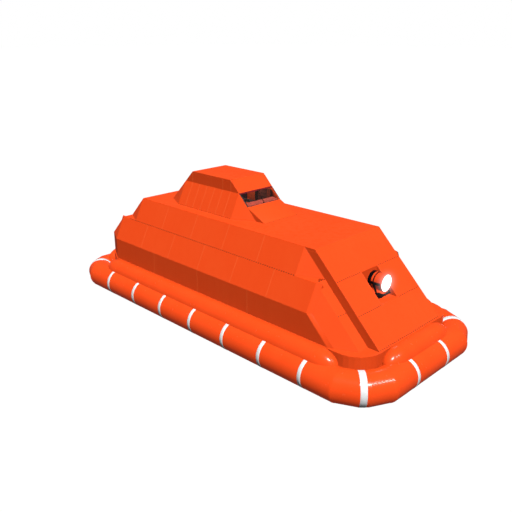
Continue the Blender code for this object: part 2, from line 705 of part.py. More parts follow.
def build_searchlight(boat):
    """Foot on the niche floor, yoke that pans on it, and the drum with its side rails that tilts in it."""
    pivot = (LAMP_X, 0, LAMP_Z)
    foot = [(GAP, 0), (GAP, FOOT_R), (FOOT_TALL, FOOT_R - 0.01), (FOOT_TALL, 0)]
    turned("light_foot", foot, 24, (LAMP_X, 0, NICHE_FLOOR), (0, 0, 1), BLACK, boat)

    # The yoke is drawn about the pivot: boss and strap under the drum, a crossbar ahead of them, and
    # two arms that lean back to the pins and stop a hair inside the crossbar's faces
    hair = 0.0002
    low = NICHE_FLOOR + FOOT_TALL + GAP - LAMP_Z
    bar = low + BOSS_TALL
    outer = YOKE_IN + YOKE_THICK
    fore = YOKE_FORWARD + YOKE_HALF
    boss = [(low, 0), (low, BOSS_R), (bar + 0.005, BOSS_R), (bar + 0.005, 0)]
    yoke = turned("boss", boss, 24, (0, 0, 0), (0, 0, 1), BLACK)
    strap = box("strap", (-YOKE_HALF, -YOKE_HALF, bar), (fore - hair, YOKE_HALF, bar + 0.015), BLACK)
    boolean(yoke, strap, "UNION")
    back = YOKE_FORWARD - YOKE_HALF
    across = box("across", (back, -outer, bar - 0.01), (fore, outer, bar + YOKE_THICK), BLACK)
    boolean(yoke, across, "UNION")
    top = YOKE_ABOVE_PIN
    side_view = [(back + hair, bar), (fore - hair, bar), (YOKE_HALF, top), (-YOKE_HALF, top)]
    for side in (1, -1):
        faces = (side * YOKE_IN, side * (outer - hair))
        arm = layers("arm", [[(x, y, z) for x, z in side_view] for y in faces], BLACK)
        boolean(yoke, arm, "UNION")
    yoke.name = "light_yoke"
    yoke.parent = boat
    yoke.location = pivot

    # Drum with a clamp band at its rear and a thin ring ahead of it, from columns: along the beam, radius
    skin = LAMP_R - 0.008
    rim = LAMP_R - RIM_WIDE
    lens_seat = LAMP_HALF - LENS_DEEP
    rear = -LAMP_HALF
    ring = rear + RING_AT
    ring_r = LAMP_R - 0.003
    body = [(rear, 0), (rear, skin - 0.01), (rear + 0.01, LAMP_R), (rear + CLAMP_WIDE, LAMP_R),
            (rear + CLAMP_WIDE, skin), (ring, skin), (ring, ring_r), (ring + RING_WIDE, ring_r),
            (ring + RING_WIDE, skin), (LAMP_HALF - 0.035, skin), (LAMP_HALF - 0.03, LAMP_R),
            (LAMP_HALF, LAMP_R), (LAMP_HALF, rim), (lens_seat, rim), (lens_seat, 0)]
    drum = turned("drum", body, 32, (0, 0, 0), (1, 0, 0), ORANGE)
    pin_root = LAMP_R - 0.02
    tip = YOKE_IN - GAP
    for side in (1, -1):
        y0, y1 = sorted((side * (LAMP_R - 0.03), side * RAIL_OUT))
        rail = box("rail", (rear + 0.015, y0, -RAIL_HALF), (lens_seat - 0.01, y1, RAIL_HALF), BLACK)
        boolean(drum, rail, "UNION")
        pin = [(pin_root, 0), (pin_root, TRUNNION_R), (tip, TRUNNION_R), (tip, 0)]
        boolean(drum, turned("pin", pin, 12, (0, 0, 0), (0, side, 0), ORANGE), "UNION")
    drum.name = "light_drum"
    drum.parent = boat
    drum.location = pivot
    back = lens_seat + GAP
    edge = rim - GAP
    lens = [(back, 0), (back, edge), (LAMP_HALF - 0.004, edge), (LAMP_HALF - 0.001, 0)]
    glass = turned("light_lens", lens, 32, (0, 0, 0), (1, 0, 0), LENS, boat)
    glass.location = pivot


# Propeller and rudder

def blade(angle):
    """One twisted blade, from columns: radius, chord, pitch in degrees, thickness."""
    stations = [
        (0.030, 0.080, 60, 0.014),
        (0.100, 0.130, 42, 0.010),
        (0.180, 0.150, 30, 0.008),
        (0.235, 0.110, 24, 0.006),
        (PROP_R, 0.040, 22, 0.004),
    ]
    outlines = []
    for radius, chord, pitch, thick in stations:
        turn = Matrix.Rotation(math.radians(90 - pitch), 3, "Z")
        outline = []
        for x, y in ((-1, -1), (1, -1), (1, 1), (-1, 1)):
            p = turn @ Vector((x * chord / 2, y * thick / 2, 0))
            outline.append(Matrix.Rotation(angle, 3, "X") @ Vector((p.x, p.y, radius)))
        outlines.append(outline)
    return layers("blade", outlines, BRONZE, twisted=True)


def build_drive(boat):
    front = TUNNEL_FRONT - PROP_X - GAP
    # Hub and shaft, from columns: along the shaft, radius
    hub = [(-0.10, 0), (-0.09, 0.022), (-0.06, 0.042), (0.06, 0.045), (0.07, SHAFT_R)]
    hub += [(front, SHAFT_R), (front, 0)]
    prop = turned("hub", hub, 24, (0, 0, 0), (1, 0, 0), BRONZE)
    for k in range(BLADES):
        boolean(prop, blade(math.tau * k / BLADES), "UNION")
    prop.name = "propeller"
    prop.parent = boat
    prop.location = (PROP_X, 0, SHAFT_Z)

    half = 0.5 * RUDDER_THICK
    tail = -RUDDER_LONG
    plan = [(0.055, 0), (0.035, half), (-0.05, half), (tail, 0.006)]
    plan += [(x, -y) for x, y in reversed(plan[1:])]
    rudder = layers("rudder", [[(x, y, z) for x, y in plan] for z in (RUDDER_LOW, RUDDER_HIGH)], ORANGE)
    root = RUDDER_HIGH - 0.05
    stock = [(root, 0), (root, STOCK_R), (TUNNEL_TOP - GAP, STOCK_R), (TUNNEL_TOP - GAP, 0)]
    boolean(rudder, turned("stock", stock, 16, (0, 0, 0), (0, 0, 1), ORANGE), "UNION")
    rudder.parent = boat
    rudder.location = (RUDDER_X, 0, 0)


def main():
    clear_scene()
    boat = bpy.data.objects.new("boat", None)
    bpy.context.scene.collection.objects.link(boat)
    reach_fore = COLLAR_BOW_X + COLLAR_R
    reach_aft = COLLAR_STERN_X - COLLAR_R
    boat.location = (-0.5 * (reach_fore + reach_aft), 0, -KEEL_Z)
    build_hull(boat)
    build_deck(boat)
    build_ring(boat)
    build_fenders(boat)
    for side, where in ((1, "port"), (-1, "stbd")):
        build_side(boat, side, where)
        build_corner(boat, "bow_corner_" + where, side, [BOW_FACET, FRONT], BOW_FACET_UP, BOW_LEDGE_EDGE)
        skin = [STERN_FACET, STERN_SLOPE, STERN, STERN_CHAMFER]
        build_corner(boat, "stern_corner_" + where, side, skin, STERN_FACET_UP, STERN_LEDGE_EDGE)
    build_stern(boat)
    build_hatch(boat)
    build_roof(boat)
    build_ramp(boat)
    build_wheelhouse(boat)
    build_helm(boat)
    build_engine(boat)
    build_searchlight(boat)
    build_drive(boat)


main()
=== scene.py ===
"""Looks of an enclosed lifeboat: a faceted orange canopy on a ring of banded buoyancy tubes.

Metres, +X forward, +Y port, +Z up. The sections follow the boat as it is put together.
"""
import json
import math

import bmesh
import bpy
from mathutils import Matrix, Vector
from mathutils.bvhtree import BVHTree

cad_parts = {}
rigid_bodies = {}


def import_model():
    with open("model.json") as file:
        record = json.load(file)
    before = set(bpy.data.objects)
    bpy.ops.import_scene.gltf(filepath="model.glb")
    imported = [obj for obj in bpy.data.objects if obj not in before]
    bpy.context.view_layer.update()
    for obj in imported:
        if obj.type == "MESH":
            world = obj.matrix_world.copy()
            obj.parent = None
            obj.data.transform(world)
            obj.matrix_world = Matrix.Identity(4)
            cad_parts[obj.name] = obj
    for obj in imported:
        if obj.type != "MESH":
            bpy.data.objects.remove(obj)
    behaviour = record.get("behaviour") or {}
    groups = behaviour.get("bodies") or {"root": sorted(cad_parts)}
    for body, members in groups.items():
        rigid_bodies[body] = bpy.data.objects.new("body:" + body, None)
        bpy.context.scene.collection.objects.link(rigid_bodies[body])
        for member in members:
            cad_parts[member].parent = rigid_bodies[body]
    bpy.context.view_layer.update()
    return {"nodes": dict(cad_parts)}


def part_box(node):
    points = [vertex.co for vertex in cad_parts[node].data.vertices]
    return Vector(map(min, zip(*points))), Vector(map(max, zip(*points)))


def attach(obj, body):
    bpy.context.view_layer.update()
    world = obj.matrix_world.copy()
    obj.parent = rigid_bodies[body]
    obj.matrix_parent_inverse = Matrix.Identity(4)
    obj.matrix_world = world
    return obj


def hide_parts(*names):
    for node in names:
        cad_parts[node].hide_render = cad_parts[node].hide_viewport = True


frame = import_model()
scene = bpy.context.scene

# The boat's own drawing counts height from the deck's top and length from amidships, which lies 2 m ahead
# of the seam between the two roof plates.
ROOF_SEAM = -2.0
MID_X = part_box("roof_main")[0].x - ROOF_SEAM
DECK_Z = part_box("deck")[1].z


def at(x, y, z):
    """A place in the boat's drawing, as a place in the frame."""
    return Vector((x + MID_X, y, z + DECK_Z))


# Camera: the viewpoint fitted to the photograph, off the starboard bow and a little above the roof. Its lens
# and its angles come from the canopy's corners.
SENSOR_MM = 36.0
LENS_MM = 43.296
LOOKS_DOWN = 19.741
LOOKS_ROUND = 44.926


def set_up(name, data):
    """A new object that stands in the scene."""
    obj = bpy.data.objects.new(name, data)
    scene.collection.objects.link(obj)
    return obj


scene.camera = set_up("camera", bpy.data.cameras.new("camera"))
scene.camera.data.sensor_width = SENSOR_MM
scene.camera.data.lens = LENS_MM
scene.camera.location = at(9.355, -9.124, 5.116)
scene.camera.rotation_euler = (math.radians(90 - LOOKS_DOWN), 0.0, math.radians(LOOKS_ROUND))


# Shader maths: a finish is one procedural material, and a wire is one socket in it, so that the maths of a
# surface reads as plain arithmetic.
class Wire:
    """A socket in a finish; arithmetic on it adds Math nodes."""

    def __init__(self, finish, socket):
        self.finish = finish
        self.socket = socket

    def math(self, operation, *terms):
        return self.finish.node("Math", {"operation": operation}, dict(enumerate(terms)))

    def __add__(self, other):
        return self.math("ADD", self, other)

    def __radd__(self, other):
        return self.math("ADD", other, self)

    def __sub__(self, other):
        return self.math("SUBTRACT", self, other)

    def __rsub__(self, other):
        return self.math("SUBTRACT", other, self)

    def __mul__(self, other):
        return self.math("MULTIPLY", self, other)

    def __rmul__(self, other):
        return self.math("MULTIPLY", other, self)

    def sine(self):
        return self.math("SINE", self)

    def ramp(self, low, high):
        """A smooth step from 0 to 1 as this wire goes from low to high."""
        settings = {"interpolation_type": "SMOOTHSTEP"}
        return self.finish.node("MapRange", settings, {0: self, 1: low, 2: high})


class Finish:
    """One procedural material, and the name of a slot of the record kept with it."""

    def __init__(self, name, roughness, metallic=0.0, specular=0.5, slot="orange_grp"):
        self.slot = slot
        self.material = bpy.data.materials.new(name)
        self.material.use_nodes = True
        self.tree = self.material.node_tree
        self.shader = self.tree.nodes["Principled BSDF"]
        self.set("Roughness", roughness)
        self.set("Metallic", metallic)
        self.set("Specular IOR Level", specular)

    def node(self, kind, settings=None, sockets=None, out=0):
        """Any node: its type, its settings, then the values or links of its sockets."""
        node = self.tree.nodes.new("ShaderNode" + kind)
        for key, value in (settings or {}).items():
            setattr(node, key, value)
        for key, value in (sockets or {}).items():
            self.feed(node.inputs[key], value)
        return Wire(self, node.outputs[out])

    def feed(self, socket, value):
        if isinstance(value, Wire):
            self.tree.links.new(value.socket, socket)
        elif socket.type == "RGBA":
            socket.default_value = (*value, 1.0)
        else:
            socket.default_value = value

    def set(self, name, value):
        self.feed(self.shader.inputs[name], value)

    def place(self):
        """Where a point of the piece is at rest, in metres."""
        return self.node("TexCoord", out=3)

    def axes(self):
        return [self.node("SeparateXYZ", None, {0: self.place()}, out=k) for k in range(3)]

    def stretched(self, scale):
        return self.node("Mapping", None, {"Vector": self.place(), "Scale": scale})

    def noise(self, scale, detail=2.0, vector=None):
        """Soft noise from 0 to 1 about a half, with this many patches to a metre."""
        sockets = {"Vector": vector or self.place(), "Scale": scale, "Detail": detail}
        return self.node("TexNoise", None, sockets)

    def cells(self, scale, feature="F1"):
        return self.node("TexVoronoi", {"feature": feature}, {"Vector": self.place(), "Scale": scale})

    def blend(self, factor, low, high):
        """A colour between two colours."""
        return self.node("Mix", {"data_type": "RGBA"}, {0: factor, 6: low, 7: high}, out=2)

    def mottle(self, scale, low, high, detail=2.0):
        """Colour the surface from one colour to another over soft noise, and return the noise."""
        patches = self.noise(scale, detail)
        self.set("Base Color", self.blend(patches, low, high))
        return patches

    def bump(self, height, depth):
        """Raise the surface by a height in units of depth, in metres."""
        sockets = {"Strength": 1.0, "Distance": depth, "Height": height}
        self.set("Normal", self.node("Bump", None, sockets))

    def grain(self, scale, depth):
        self.bump(self.noise(scale), depth)


# Ground and light: a plain white floor that runs out of sight, a soft key lamp high over the starboard bow, a
# faint one overhead, a fill on each far side, and a rim lamp that only glints. The floor glows, unshadowed.
SKY = 0.06
FLOOR_GLOW = 0.90
FLOOR_REACH = 300.0
LAMP_SPREAD = math.radians(5)
# Lamps, from columns: name, way to the lamp, strength, lights surfaces, glints in them
LAMPS = [
    ("key", Vector((0.469, -0.333, 0.818)), 3.88, True, True),
    ("overhead", Vector((0, 0, 1)), 0.16, True, False),
    ("port_fill", Vector((0, 1, 0.1)), 1.0, True, False),
    ("stern_fill", Vector((-1, 0.1, 0.1)), 0.65, True, False),
    ("rim", Vector((0.685, 0.168, 0.708)), 0.7, False, True),
]

floor_white = Finish("floor_white", roughness=0.9, specular=0.0)
floor_white.mottle(0.6, (0.10, 0.10, 0.10), (0.12, 0.12, 0.12))
floor_white.set("Emission Color", (1.0, 1.0, 1.0))
floor_white.set("Emission Strength", FLOOR_GLOW)
floor_mesh = bpy.data.meshes.new("floor")
floor_corners = [(x * FLOOR_REACH, y * FLOOR_REACH, 0) for x, y in ((-1, -1), (1, -1), (1, 1), (-1, 1))]
floor_mesh.from_pydata(floor_corners, [], [(0, 1, 2, 3)])
floor_mesh.materials.append(floor_white.material)
floor = set_up("floor", floor_mesh)
floor.visible_diffuse = False
floor.visible_glossy = False

for name, towards, energy, lights, glints in LAMPS:
    light = bpy.data.lights.new(name, "SUN")
    light.energy = energy
    light.angle = LAMP_SPREAD
    light.use_shadow = False
    stand = set_up(name, light)
    stand.rotation_euler = towards.to_track_quat("Z", "Y").to_euler()
    stand.visible_diffuse = lights
    stand.visible_glossy = glints

world = bpy.data.worlds.new("studio")
world.use_nodes = True
scene.world = world
sky_nodes = world.node_tree.nodes
sky_links = world.node_tree.links
backdrop = sky_nodes.new("ShaderNodeLightPath")
strength = sky_nodes.new("ShaderNodeMapRange")
strength.inputs["To Min"].default_value = SKY
strength.inputs["To Max"].default_value = 1.0
sky_links.new(backdrop.outputs["Is Camera Ray"], strength.inputs["Value"])
sky_links.new(strength.outputs["Result"], sky_nodes["Background"].inputs["Strength"])
sky_nodes["Background"].inputs["Color"].default_value = (1.0, 1.0, 1.0, 1.0)
scene.view_settings.view_transform = "Standard"


# Canopy panels: hand-laid glass-fibre mouldings in safety orange gel coat. Each is one flat or folded panel,
# with its moulded edges eased, a slight sun-faded mottle and the fine ripple of sprayed gel coat.
ORANGE = (0.985, 0.083, 0.0125)
FADED = (0.99, 0.088, 0.0140)
DEEP = (0.97, 0.078, 0.0110)
EDGE = 0.004
WELD_GAP = 0.00005
FLAT_WITHIN = math.radians(0.3)
EDGE_FROM = math.radians(20)


def gel_coat(name, roughness=0.42):
    """Safety orange gel coat, with broad fading, small mottle and faint runs down the panels."""
    finish = Finish(name, roughness, specular=0.12)
    broad = finish.noise(0.9, 3.0).ramp(0.35, 0.65)
    mottle = finish.noise(26.0, 3.0)
    runs = finish.noise(1.0, 4.0, finish.stretched((9.0, 9.0, 0.8))).ramp(0.42, 0.7)
    base = finish.blend(broad, ORANGE, FADED)
    base = finish.blend(runs * 0.35, base, DEEP)
    finish.set("Base Color", finish.blend(mottle.ramp(0.55, 0.8) * 0.25, base, DEEP))
    finish.set("Roughness", roughness - 0.05 + 0.1 * mottle + 0.06 * runs)
    finish.grain(120.0, 0.0004)
    return finish


canopy_coat = gel_coat("canopy_gel_coat")


def dress(nodes, finish, edge=0, segments=2):
    """Give carried-over nodes a finish, and round their edges."""
    for name in nodes:
        obj = frame["nodes"][name]
        for slot in obj.material_slots:
            slot.material = finish.material
        if edge:
            weld = obj.modifiers.new("weld", "WELD")
            weld.merge_threshold = WELD_GAP
            flat = obj.modifiers.new("flat", "DECIMATE")
            flat.decimate_type = "DISSOLVE"
            flat.angle_limit = FLAT_WITHIN
            bevel = obj.modifiers.new("ease", "BEVEL")
            bevel.width = edge
            bevel.segments = segments
            bevel.limit_method = "ANGLE"
            bevel.angle_limit = EDGE_FROM


canopy = [name + side for name in ("side_band_", "side_lower_", "side_upper_", "bow_corner_", "stern_corner_")
          for side in ("port", "stbd")]
canopy += ["bow_ramp", "light_niche", "stern_board", "stern_slope", "roof_main", "roof_aft"]
canopy += ["wheelhouse_" + name for name in ("side_port", "side_stbd", "roof", "back", "brow", "apron")]
dress(canopy, canopy_coat, EDGE)


# Panel joints: the mouldings butt on frames under them, and each joint is closed with a bead of orange
# sealant, half round and about 10 mm wide, that stands a little lighter than the panels.
BEAD_HALF = 0.005
BEAD_LIFT = 0.0025
BEAD_STEPS = 4
BEAD_SINK = 0.002
SLOPE_OUT = Vector((0, 2, 1)).normalized()

sealant = Finish("orange_sealant", roughness=0.5, specular=0.15)
sealant.mottle(60.0, (1.0, 0.125, 0.026), (1.0, 0.145, 0.034))
sealant.grain(260.0, 0.0006)


def piece(name, shape, finish, body="boat", smooth=True, replaces=(), crease=40):
    """One closed object from points and faces, on a body of the frame, in a finish."""
    points, faces = shape
    mesh = bpy.data.meshes.new(name)
    mesh.from_pydata([tuple(p) for p in points], [], faces)
    work = bmesh.new()
    work.from_mesh(mesh)
    bmesh.ops.recalc_face_normals(work, faces=work.faces)
    work.to_mesh(mesh)
    work.free()
    mesh.materials.append(finish.material)
    if smooth:
        mesh.shade_smooth()
        mesh.set_sharp_from_angle(angle=math.radians(crease))
    obj = set_up(name, mesh)
    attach(obj, body)
    if replaces:
        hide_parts(*replaces)


def loft(rings, looped=False):
    """Points and faces of a skin over rings of points, closed at its ends or round on itself."""
    count = len(rings[0])
    points = [p for ring in rings for p in ring]
    faces = []
    spans = len(rings) if looped else len(rings) - 1
    for k in range(spans):
        a = k * count
        b = (k + 1) % len(rings) * count
        for i in range(count):
            j = (i + 1) % count
            faces.append((a + i, a + j, b + j, b + i))
    if not looped:
        faces.append(tuple(reversed(range(count))))
        faces.append(tuple(range(spans * count, spans * count + count)))
    return points, faces


def gather(shapes):
    """Several shapes as one."""
    points = []
    faces = []
    for more_points, more_faces in shapes:
        start = len(points)
        points += more_points
        faces += [tuple(start + i for i in face) for face in more_faces]
    return points, faces


def strip(start, end, out, half, lift):
    """A half-round strip along a line on a surface that faces out."""
    along = (end - start).normalized()
    across = along.cross(out).normalized()
    section = [-half * across - BEAD_SINK * out]
    for k in range(BEAD_STEPS + 1):
        angle = math.pi * (1 - k / BEAD_STEPS)
        section.append(half * math.cos(angle) * across + lift * math.sin(angle) * out)
    section.append(half * across - BEAD_SINK * out)
    return loft([[place + p for p in section] for place in (start, end)])


def on_both_sides(rows):
    """Lines of the port side, each a start, an end and a way out, then their mirror images to starboard."""
    lines = []
    for side in (1, -1):
        mirror = Vector((1, side, 1))
        lines += [(at(*start) * mirror, at(*end) * mirror, out * mirror) for start, end, out in rows]
    return lines


# Seams, from columns: stations along the boat, foot (y, z), head (y, z), way out
SIDE_SEAMS = [
    ((-1.5, -0.5, 0.5, 1.5), (1.25, 1.0), (1.0, 1.5), SLOPE_OUT),
    ((-2.0, -1.0, 0.0, 1.0, 2.0), (1.5, 0.5), (1.25, 1.0), SLOPE_OUT),
    ((-1.5, 0.0, 1.5), (1.5, 0.0), (1.5, 0.5), Vector((0, 1, 0))),
    ((-1.25, -1.0, -0.75, -0.5, -0.25, 0.0), (0.75, 1.5), (0.5, 2.0), SLOPE_OUT),
    ((-1.25, -0.25, 0.0), (0.5, 2.0), (0.5, 2.25), Vector((0, 1, 0))),
]
SEAM_END = 0.012
seams = [((x, *foot), (x, *head), out) for stations, foot, head, out in SIDE_SEAMS for x in stations]
beads = []
for low, high, out in on_both_sides(seams):
    gap = SEAM_END * (high - low).normalized()
    beads.append(strip(low + gap, high - gap, out, BEAD_HALF, BEAD_LIFT))
piece("panel_joint_beads", gather(beads), sealant)


# Ledge gussets: a small web moulded in with each lower side panel. It backs the tip of the panel's ledge at
# the bow, where the ledge runs out past the corner.
GUSSET = [[(2.97, 1.196, 0.994), (2.97, 1.13, 0.93), (2.97, 1.24, 0.90)],
          [(3.096, 1.196, 0.990), (3.10, 1.15, 0.91), (3.104, 1.24, 0.90)]]
gussets = [loft([[at(x, side * y, z) for x, y, z in ring] for ring in GUSSET]) for side in (1, -1)]
piece("ledge_gussets", gather(gussets), canopy_coat, smooth=False)


# Lap joints: where one tier of panels laps the next, the upper edge is riveted down through a thin dark
# gasket, with a small domed head every 60 mm.
RIVET_PITCH = 0.06
RIVET_R = 0.012
RIVET_TALL = 0.004
LAP_HALF = 0.003
LAP_LIFT = 0.001
RAMP_OUT = Vector((1, 0, 1)).normalized()
UP = Vector((0, 0, 1))

dark_fixing = Finish("dark_rivet", roughness=0.5, specular=0.2)
dark_fixing.mottle(90.0, (0.20, 0.022, 0.006), (0.32, 0.036, 0.009))
dark_fixing.grain(500.0, 0.0003)
gasket = Finish("joint_gasket", roughness=0.7, specular=0.1)
gasket.mottle(45.0, (0.86, 0.075, 0.010), (0.94, 0.083, 0.011))
gasket.grain(300.0, 0.0004)


def circle(middle, across, up, radius, sides):
    """A ring of points about a middle, in the plane of across and up."""
    turns = [math.tau * i / sides for i in range(sides)]
    return [middle + radius * (math.cos(turn) * across + math.sin(turn) * up) for turn in turns]


def turned(profile, sides, start, direction):
    """A shape turned about a line, from (along, radius) points that begin and end on it."""
    across, up, way = Vector(direction).to_track_quat("Z", "Y").to_matrix().col
    points = [start + profile[0][0] * way, start + profile[-1][0] * way]
    faces = []
    rings = profile[1:-1]
    for along, radius in rings:
        points += circle(start + along * way, across, up, radius, sides)
    for i in range(sides):
        j = (i + 1) % sides
        faces.append((0, 2 + j, 2 + i))
        for k in range(len(rings) - 1):
            a = 2 + k * sides
            b = a + sides
            faces.append((a + i, a + j, b + j, b + i))
        last = 2 + (len(rings) - 1) * sides
        faces.append((1, last + i, last + j))
    return points, faces


def rivet_head(place, out, radius=RIVET_R, tall=RIVET_TALL, sides=10):
    dome = [(-0.002, 0), (-0.002, radius), (0.3 * tall, radius), (0.8 * tall, 0.7 * radius), (tall, 0)]
    return turned(dome, sides, place, out)


def rivet_row(start, end, out):
    run = end - start
    count = max(1, round(run.length / RIVET_PITCH))
    return [rivet_head(start + run * (k / count), out) for k in range(count + 1)]


# Lap lines, from columns: start, end and way out on the port side
LAPS = [
    ((-2.70, 1.25, 1.0), (2.47, 1.25, 1.0), SLOPE_OUT),
    ((-1.48, 0.75, 1.5), (0.22, 0.75, 1.5), SLOPE_OUT),
    ((3.25, 0.30, 1.0), (3.25, 0.96, 1.0), RAMP_OUT),
    ((3.75, 0.30, 0.5), (3.75, 0.96, 0.5), RAMP_OUT),
    ((3.0, 1.02, 1.0), (3.0, 1.17, 1.0), RAMP_OUT),
    ((3.5, 1.02, 0.5), (3.5, 1.22, 0.5), RAMP_OUT),
    ((4.235, 0.03, 0.015), (4.235, 0.96, 0.015), RAMP_OUT),
]
apron_foot = (at(1.004, -0.48, 1.5), at(1.004, 0.48, 1.5), UP)
lap_lines = on_both_sides(LAPS) + [apron_foot]
piece("lap_gaskets", gather(strip(*line, LAP_HALF, LAP_LIFT) for line in lap_lines), gasket)
piece("lap_rivets", gather(head for line in lap_lines for head in rivet_row(*line)), dark_fixing)


# Hull and deck: one heavy moulding in the same orange, with a flat bottom, a chine and a drive tunnel, under
# a thick deck whose bow corners are round.
hull_coat = gel_coat("hull_gel_coat", roughness=0.38)
dress(["hull"], hull_coat)
dress(["deck"], hull_coat, 0.006)


# Buoyancy tubes: coated fabric cylinders, glued from straight lengths with mitred bends at the corners and a
# lapped tape over every joint. The outer ring is 620 mm thick.
TUBE_ORANGE = (0.985, 0.082, 0.0120)
TUBE_DEEP = (0.97, 0.076, 0.0100)
TUBE_PAINTED_GLOW = 0.15
TUBE_SIDES = 72
COLLAR_R = 0.31
BAND_LIFT = 0.002
COLLAR_SKIN = COLLAR_R - BAND_LIFT
COLLAR_Z = -0.48
COLLAR_Y = 1.70
BOW_X = 4.485
STERN_X = -3.78
BOW_BEND = 0.70
STERN_BEND = 0.40
MITRE_CREASE = 8
TAPE_HALF = 0.02
TAPE_LIFT = 0.0008

tube_fabric = Finish("tube_coated_fabric", roughness=0.22, specular=0.35, slot="orange_tube")
# The fabric is given a painted glow: a weak orange emission that brightens the tubes beyond what the lamps
# give.
tube_fabric.set("Emission Color", (1.0, 0.075, 0.010))
tube_fabric.set("Emission Strength", TUBE_PAINTED_GLOW)
slack = tube_fabric.noise(2.2)
scuff = tube_fabric.noise(14.0, 4.0).ramp(0.6, 0.8)
fabric_colour = tube_fabric.blend(slack.ramp(0.35, 0.7), TUBE_ORANGE, TUBE_DEEP)
tube_fabric.set("Base Color", tube_fabric.blend(scuff * 0.3, fabric_colour, (1.0, 0.12, 0.03)))
tube_fabric.set("Roughness", 0.20 + 0.05 * slack + 0.12 * scuff)
tube_fabric.bump(0.6 * tube_fabric.cells(420.0) + 0.4 * tube_fabric.noise(340.0), 0.0002)


def hoop(centre, across, radius, shift=0.0):
    """A ring round a tube, moved along it."""
    return circle(centre + shift * across.cross(UP), across, UP, radius, TUBE_SIDES)


def wrap(centre, across, radius, half, lift, edge=0.3):
    """A band of cloth glued round a tube, with thinned edges."""
    under = radius - 0.003
    steps = [(-half, under), (-half, radius), (-half * (1 - edge), radius + lift),
             (half * (1 - edge), radius + lift), (half, radius), (half, under)]
    return loft([hoop(centre, across, r, shift) for shift, r in steps], looped=True)


MITRE_REACH = 1 / math.cos(math.radians(10))
# Mitres of a bend, from columns: turn from its first face in degrees, reach over the bend's radius
MITRES = [(0, 1.0), (10, MITRE_REACH), (39, 1.0), (51, 1.0), (80, MITRE_REACH), (90, 1.0)]


def bend_station(centre, bend_radius, first, turn, reach):
    angle = first + math.radians(turn)
    across = Vector((math.cos(angle), math.sin(angle), 0))
    return centre + bend_radius * reach * across, across


bow_in = (BOW_X - BOW_BEND, COLLAR_Y - BOW_BEND)
stern_in = (STERN_X + STERN_BEND, COLLAR_Y - STERN_BEND)
QUARTER = math.pi / 2

# Straight lengths, from columns: node, start (x, y), end (x, y), way out from the boat
COLLAR_RUNS = [
    ("collar_stbd", (stern_in[0], -COLLAR_Y), (bow_in[0], -COLLAR_Y), Vector((0, -1, 0))),
    ("collar_port", (stern_in[0], COLLAR_Y), (bow_in[0], COLLAR_Y), Vector((0, 1, 0))),
    ("collar_bow", (BOW_X, -bow_in[1]), (BOW_X, bow_in[1]), Vector((1, 0, 0))),
    ("collar_stern", (STERN_X, -stern_in[1]), (STERN_X, stern_in[1]), Vector((-1, 0, 0))),
]
# Bends, from columns: node, centre (x, y), bend radius, angle of the first face
COLLAR_BENDS = [
    ("collar_bow_stbd", (bow_in[0], -bow_in[1]), BOW_BEND, -QUARTER),
    ("collar_bow_port", bow_in, BOW_BEND, 0.0),
    ("collar_stern_port", stern_in, STERN_BEND, QUARTER),
    ("collar_stern_stbd", (stern_in[0], -stern_in[1]), STERN_BEND, 2 * QUARTER),
]
for node, start, end, across in COLLAR_RUNS:
    shape = loft([hoop(at(*place, COLLAR_Z), across, COLLAR_SKIN) for place in (start, end)])
    piece("skin_" + node, shape, tube_fabric, replaces=[node])
for node, centre, bend_radius, first in COLLAR_BENDS:
    middle = at(*centre, COLLAR_Z)
    stations = [bend_station(middle, bend_radius, first, *mitre) for mitre in MITRES]
    shape = loft([hoop(place, across, COLLAR_SKIN) for place, across in stations])
    piece("skin_" + node, shape, tube_fabric, replaces=[node], crease=MITRE_CREASE)


# Upper tubes: four shorter fenders of the same fabric, oval and 440 mm wide, bedded between the deck's edge
# and the outer ring. Each is closed by a moulded rounded end, glued on with a lap.
UPPER_WIDE = 0.22
UPPER_TALL = 0.27
UPPER_SKIN = UPPER_WIDE - TAPE_LIFT
UPPER_NOSE = 0.44
UPPER_Z = -0.24
UPPER_OUT = 0.11
UPPER_SIDE_ENDS = (-2.75, 3.37)
UPPER_BOW_END = 0.545
UPPER_STERN_END = 0.94
END_STEPS = 14
upper_y = 1.5 + UPPER_OUT
upper_bow = 4.25 + UPPER_OUT
upper_stern = -3.5 - UPPER_OUT

# Upper tubes, from columns: name, start (x, y), end (x, y), way out from the boat
UPPER_RUNS = [
    ("stbd", (UPPER_SIDE_ENDS[0], -upper_y), (UPPER_SIDE_ENDS[1], -upper_y), Vector((0, -1, 0))),
    ("port", (UPPER_SIDE_ENDS[0], upper_y), (UPPER_SIDE_ENDS[1], upper_y), Vector((0, 1, 0))),
    ("bow", (upper_bow, -UPPER_BOW_END), (upper_bow, UPPER_BOW_END), Vector((1, 0, 0))),
    ("stern", (upper_stern, -UPPER_STERN_END), (upper_stern, UPPER_STERN_END), Vector((-1, 0, 0))),
]


def taller(shape, centre):
    """A shape turned with the oval's width, raised to its height about its centre."""
    points, faces = shape
    grown = (UPPER_TALL - TAPE_LIFT) / UPPER_SKIN
    return [Vector((p.x, p.y, centre.z + (p.z - centre.z) * grown)) for p in points], faces


def round_ended(start, end, radius, nose):
    """A tube with rounded ends whose centres are start and end."""
    run = (end - start).length
    cap = []
    for k in range(END_STEPS + 1):
        angle = QUARTER * k / END_STEPS
        cap.append((-nose * math.cos(angle), radius * math.sin(angle)))
    profile = cap + [(run - along, r) for along, r in reversed(cap)]
    return turned(profile, TUBE_SIDES, start, end - start)


for where, start, end, across in UPPER_RUNS:
    low = at(*start, UPPER_Z)
    shape = round_ended(low, at(*end, UPPER_Z), UPPER_SKIN, UPPER_NOSE - TAPE_LIFT)
    name = "upper_tube_" + where
    piece("skin_" + name, taller(shape, low), tube_fabric, replaces=[name])


# Joint tapes: straps of the same coated fabric, 40 mm wide and under 1 mm thick. One is glued over each joint
# between two lengths of an upper tube, and over each mitre of the outer ring.
LENGTH_OF_FABRIC = 1.0


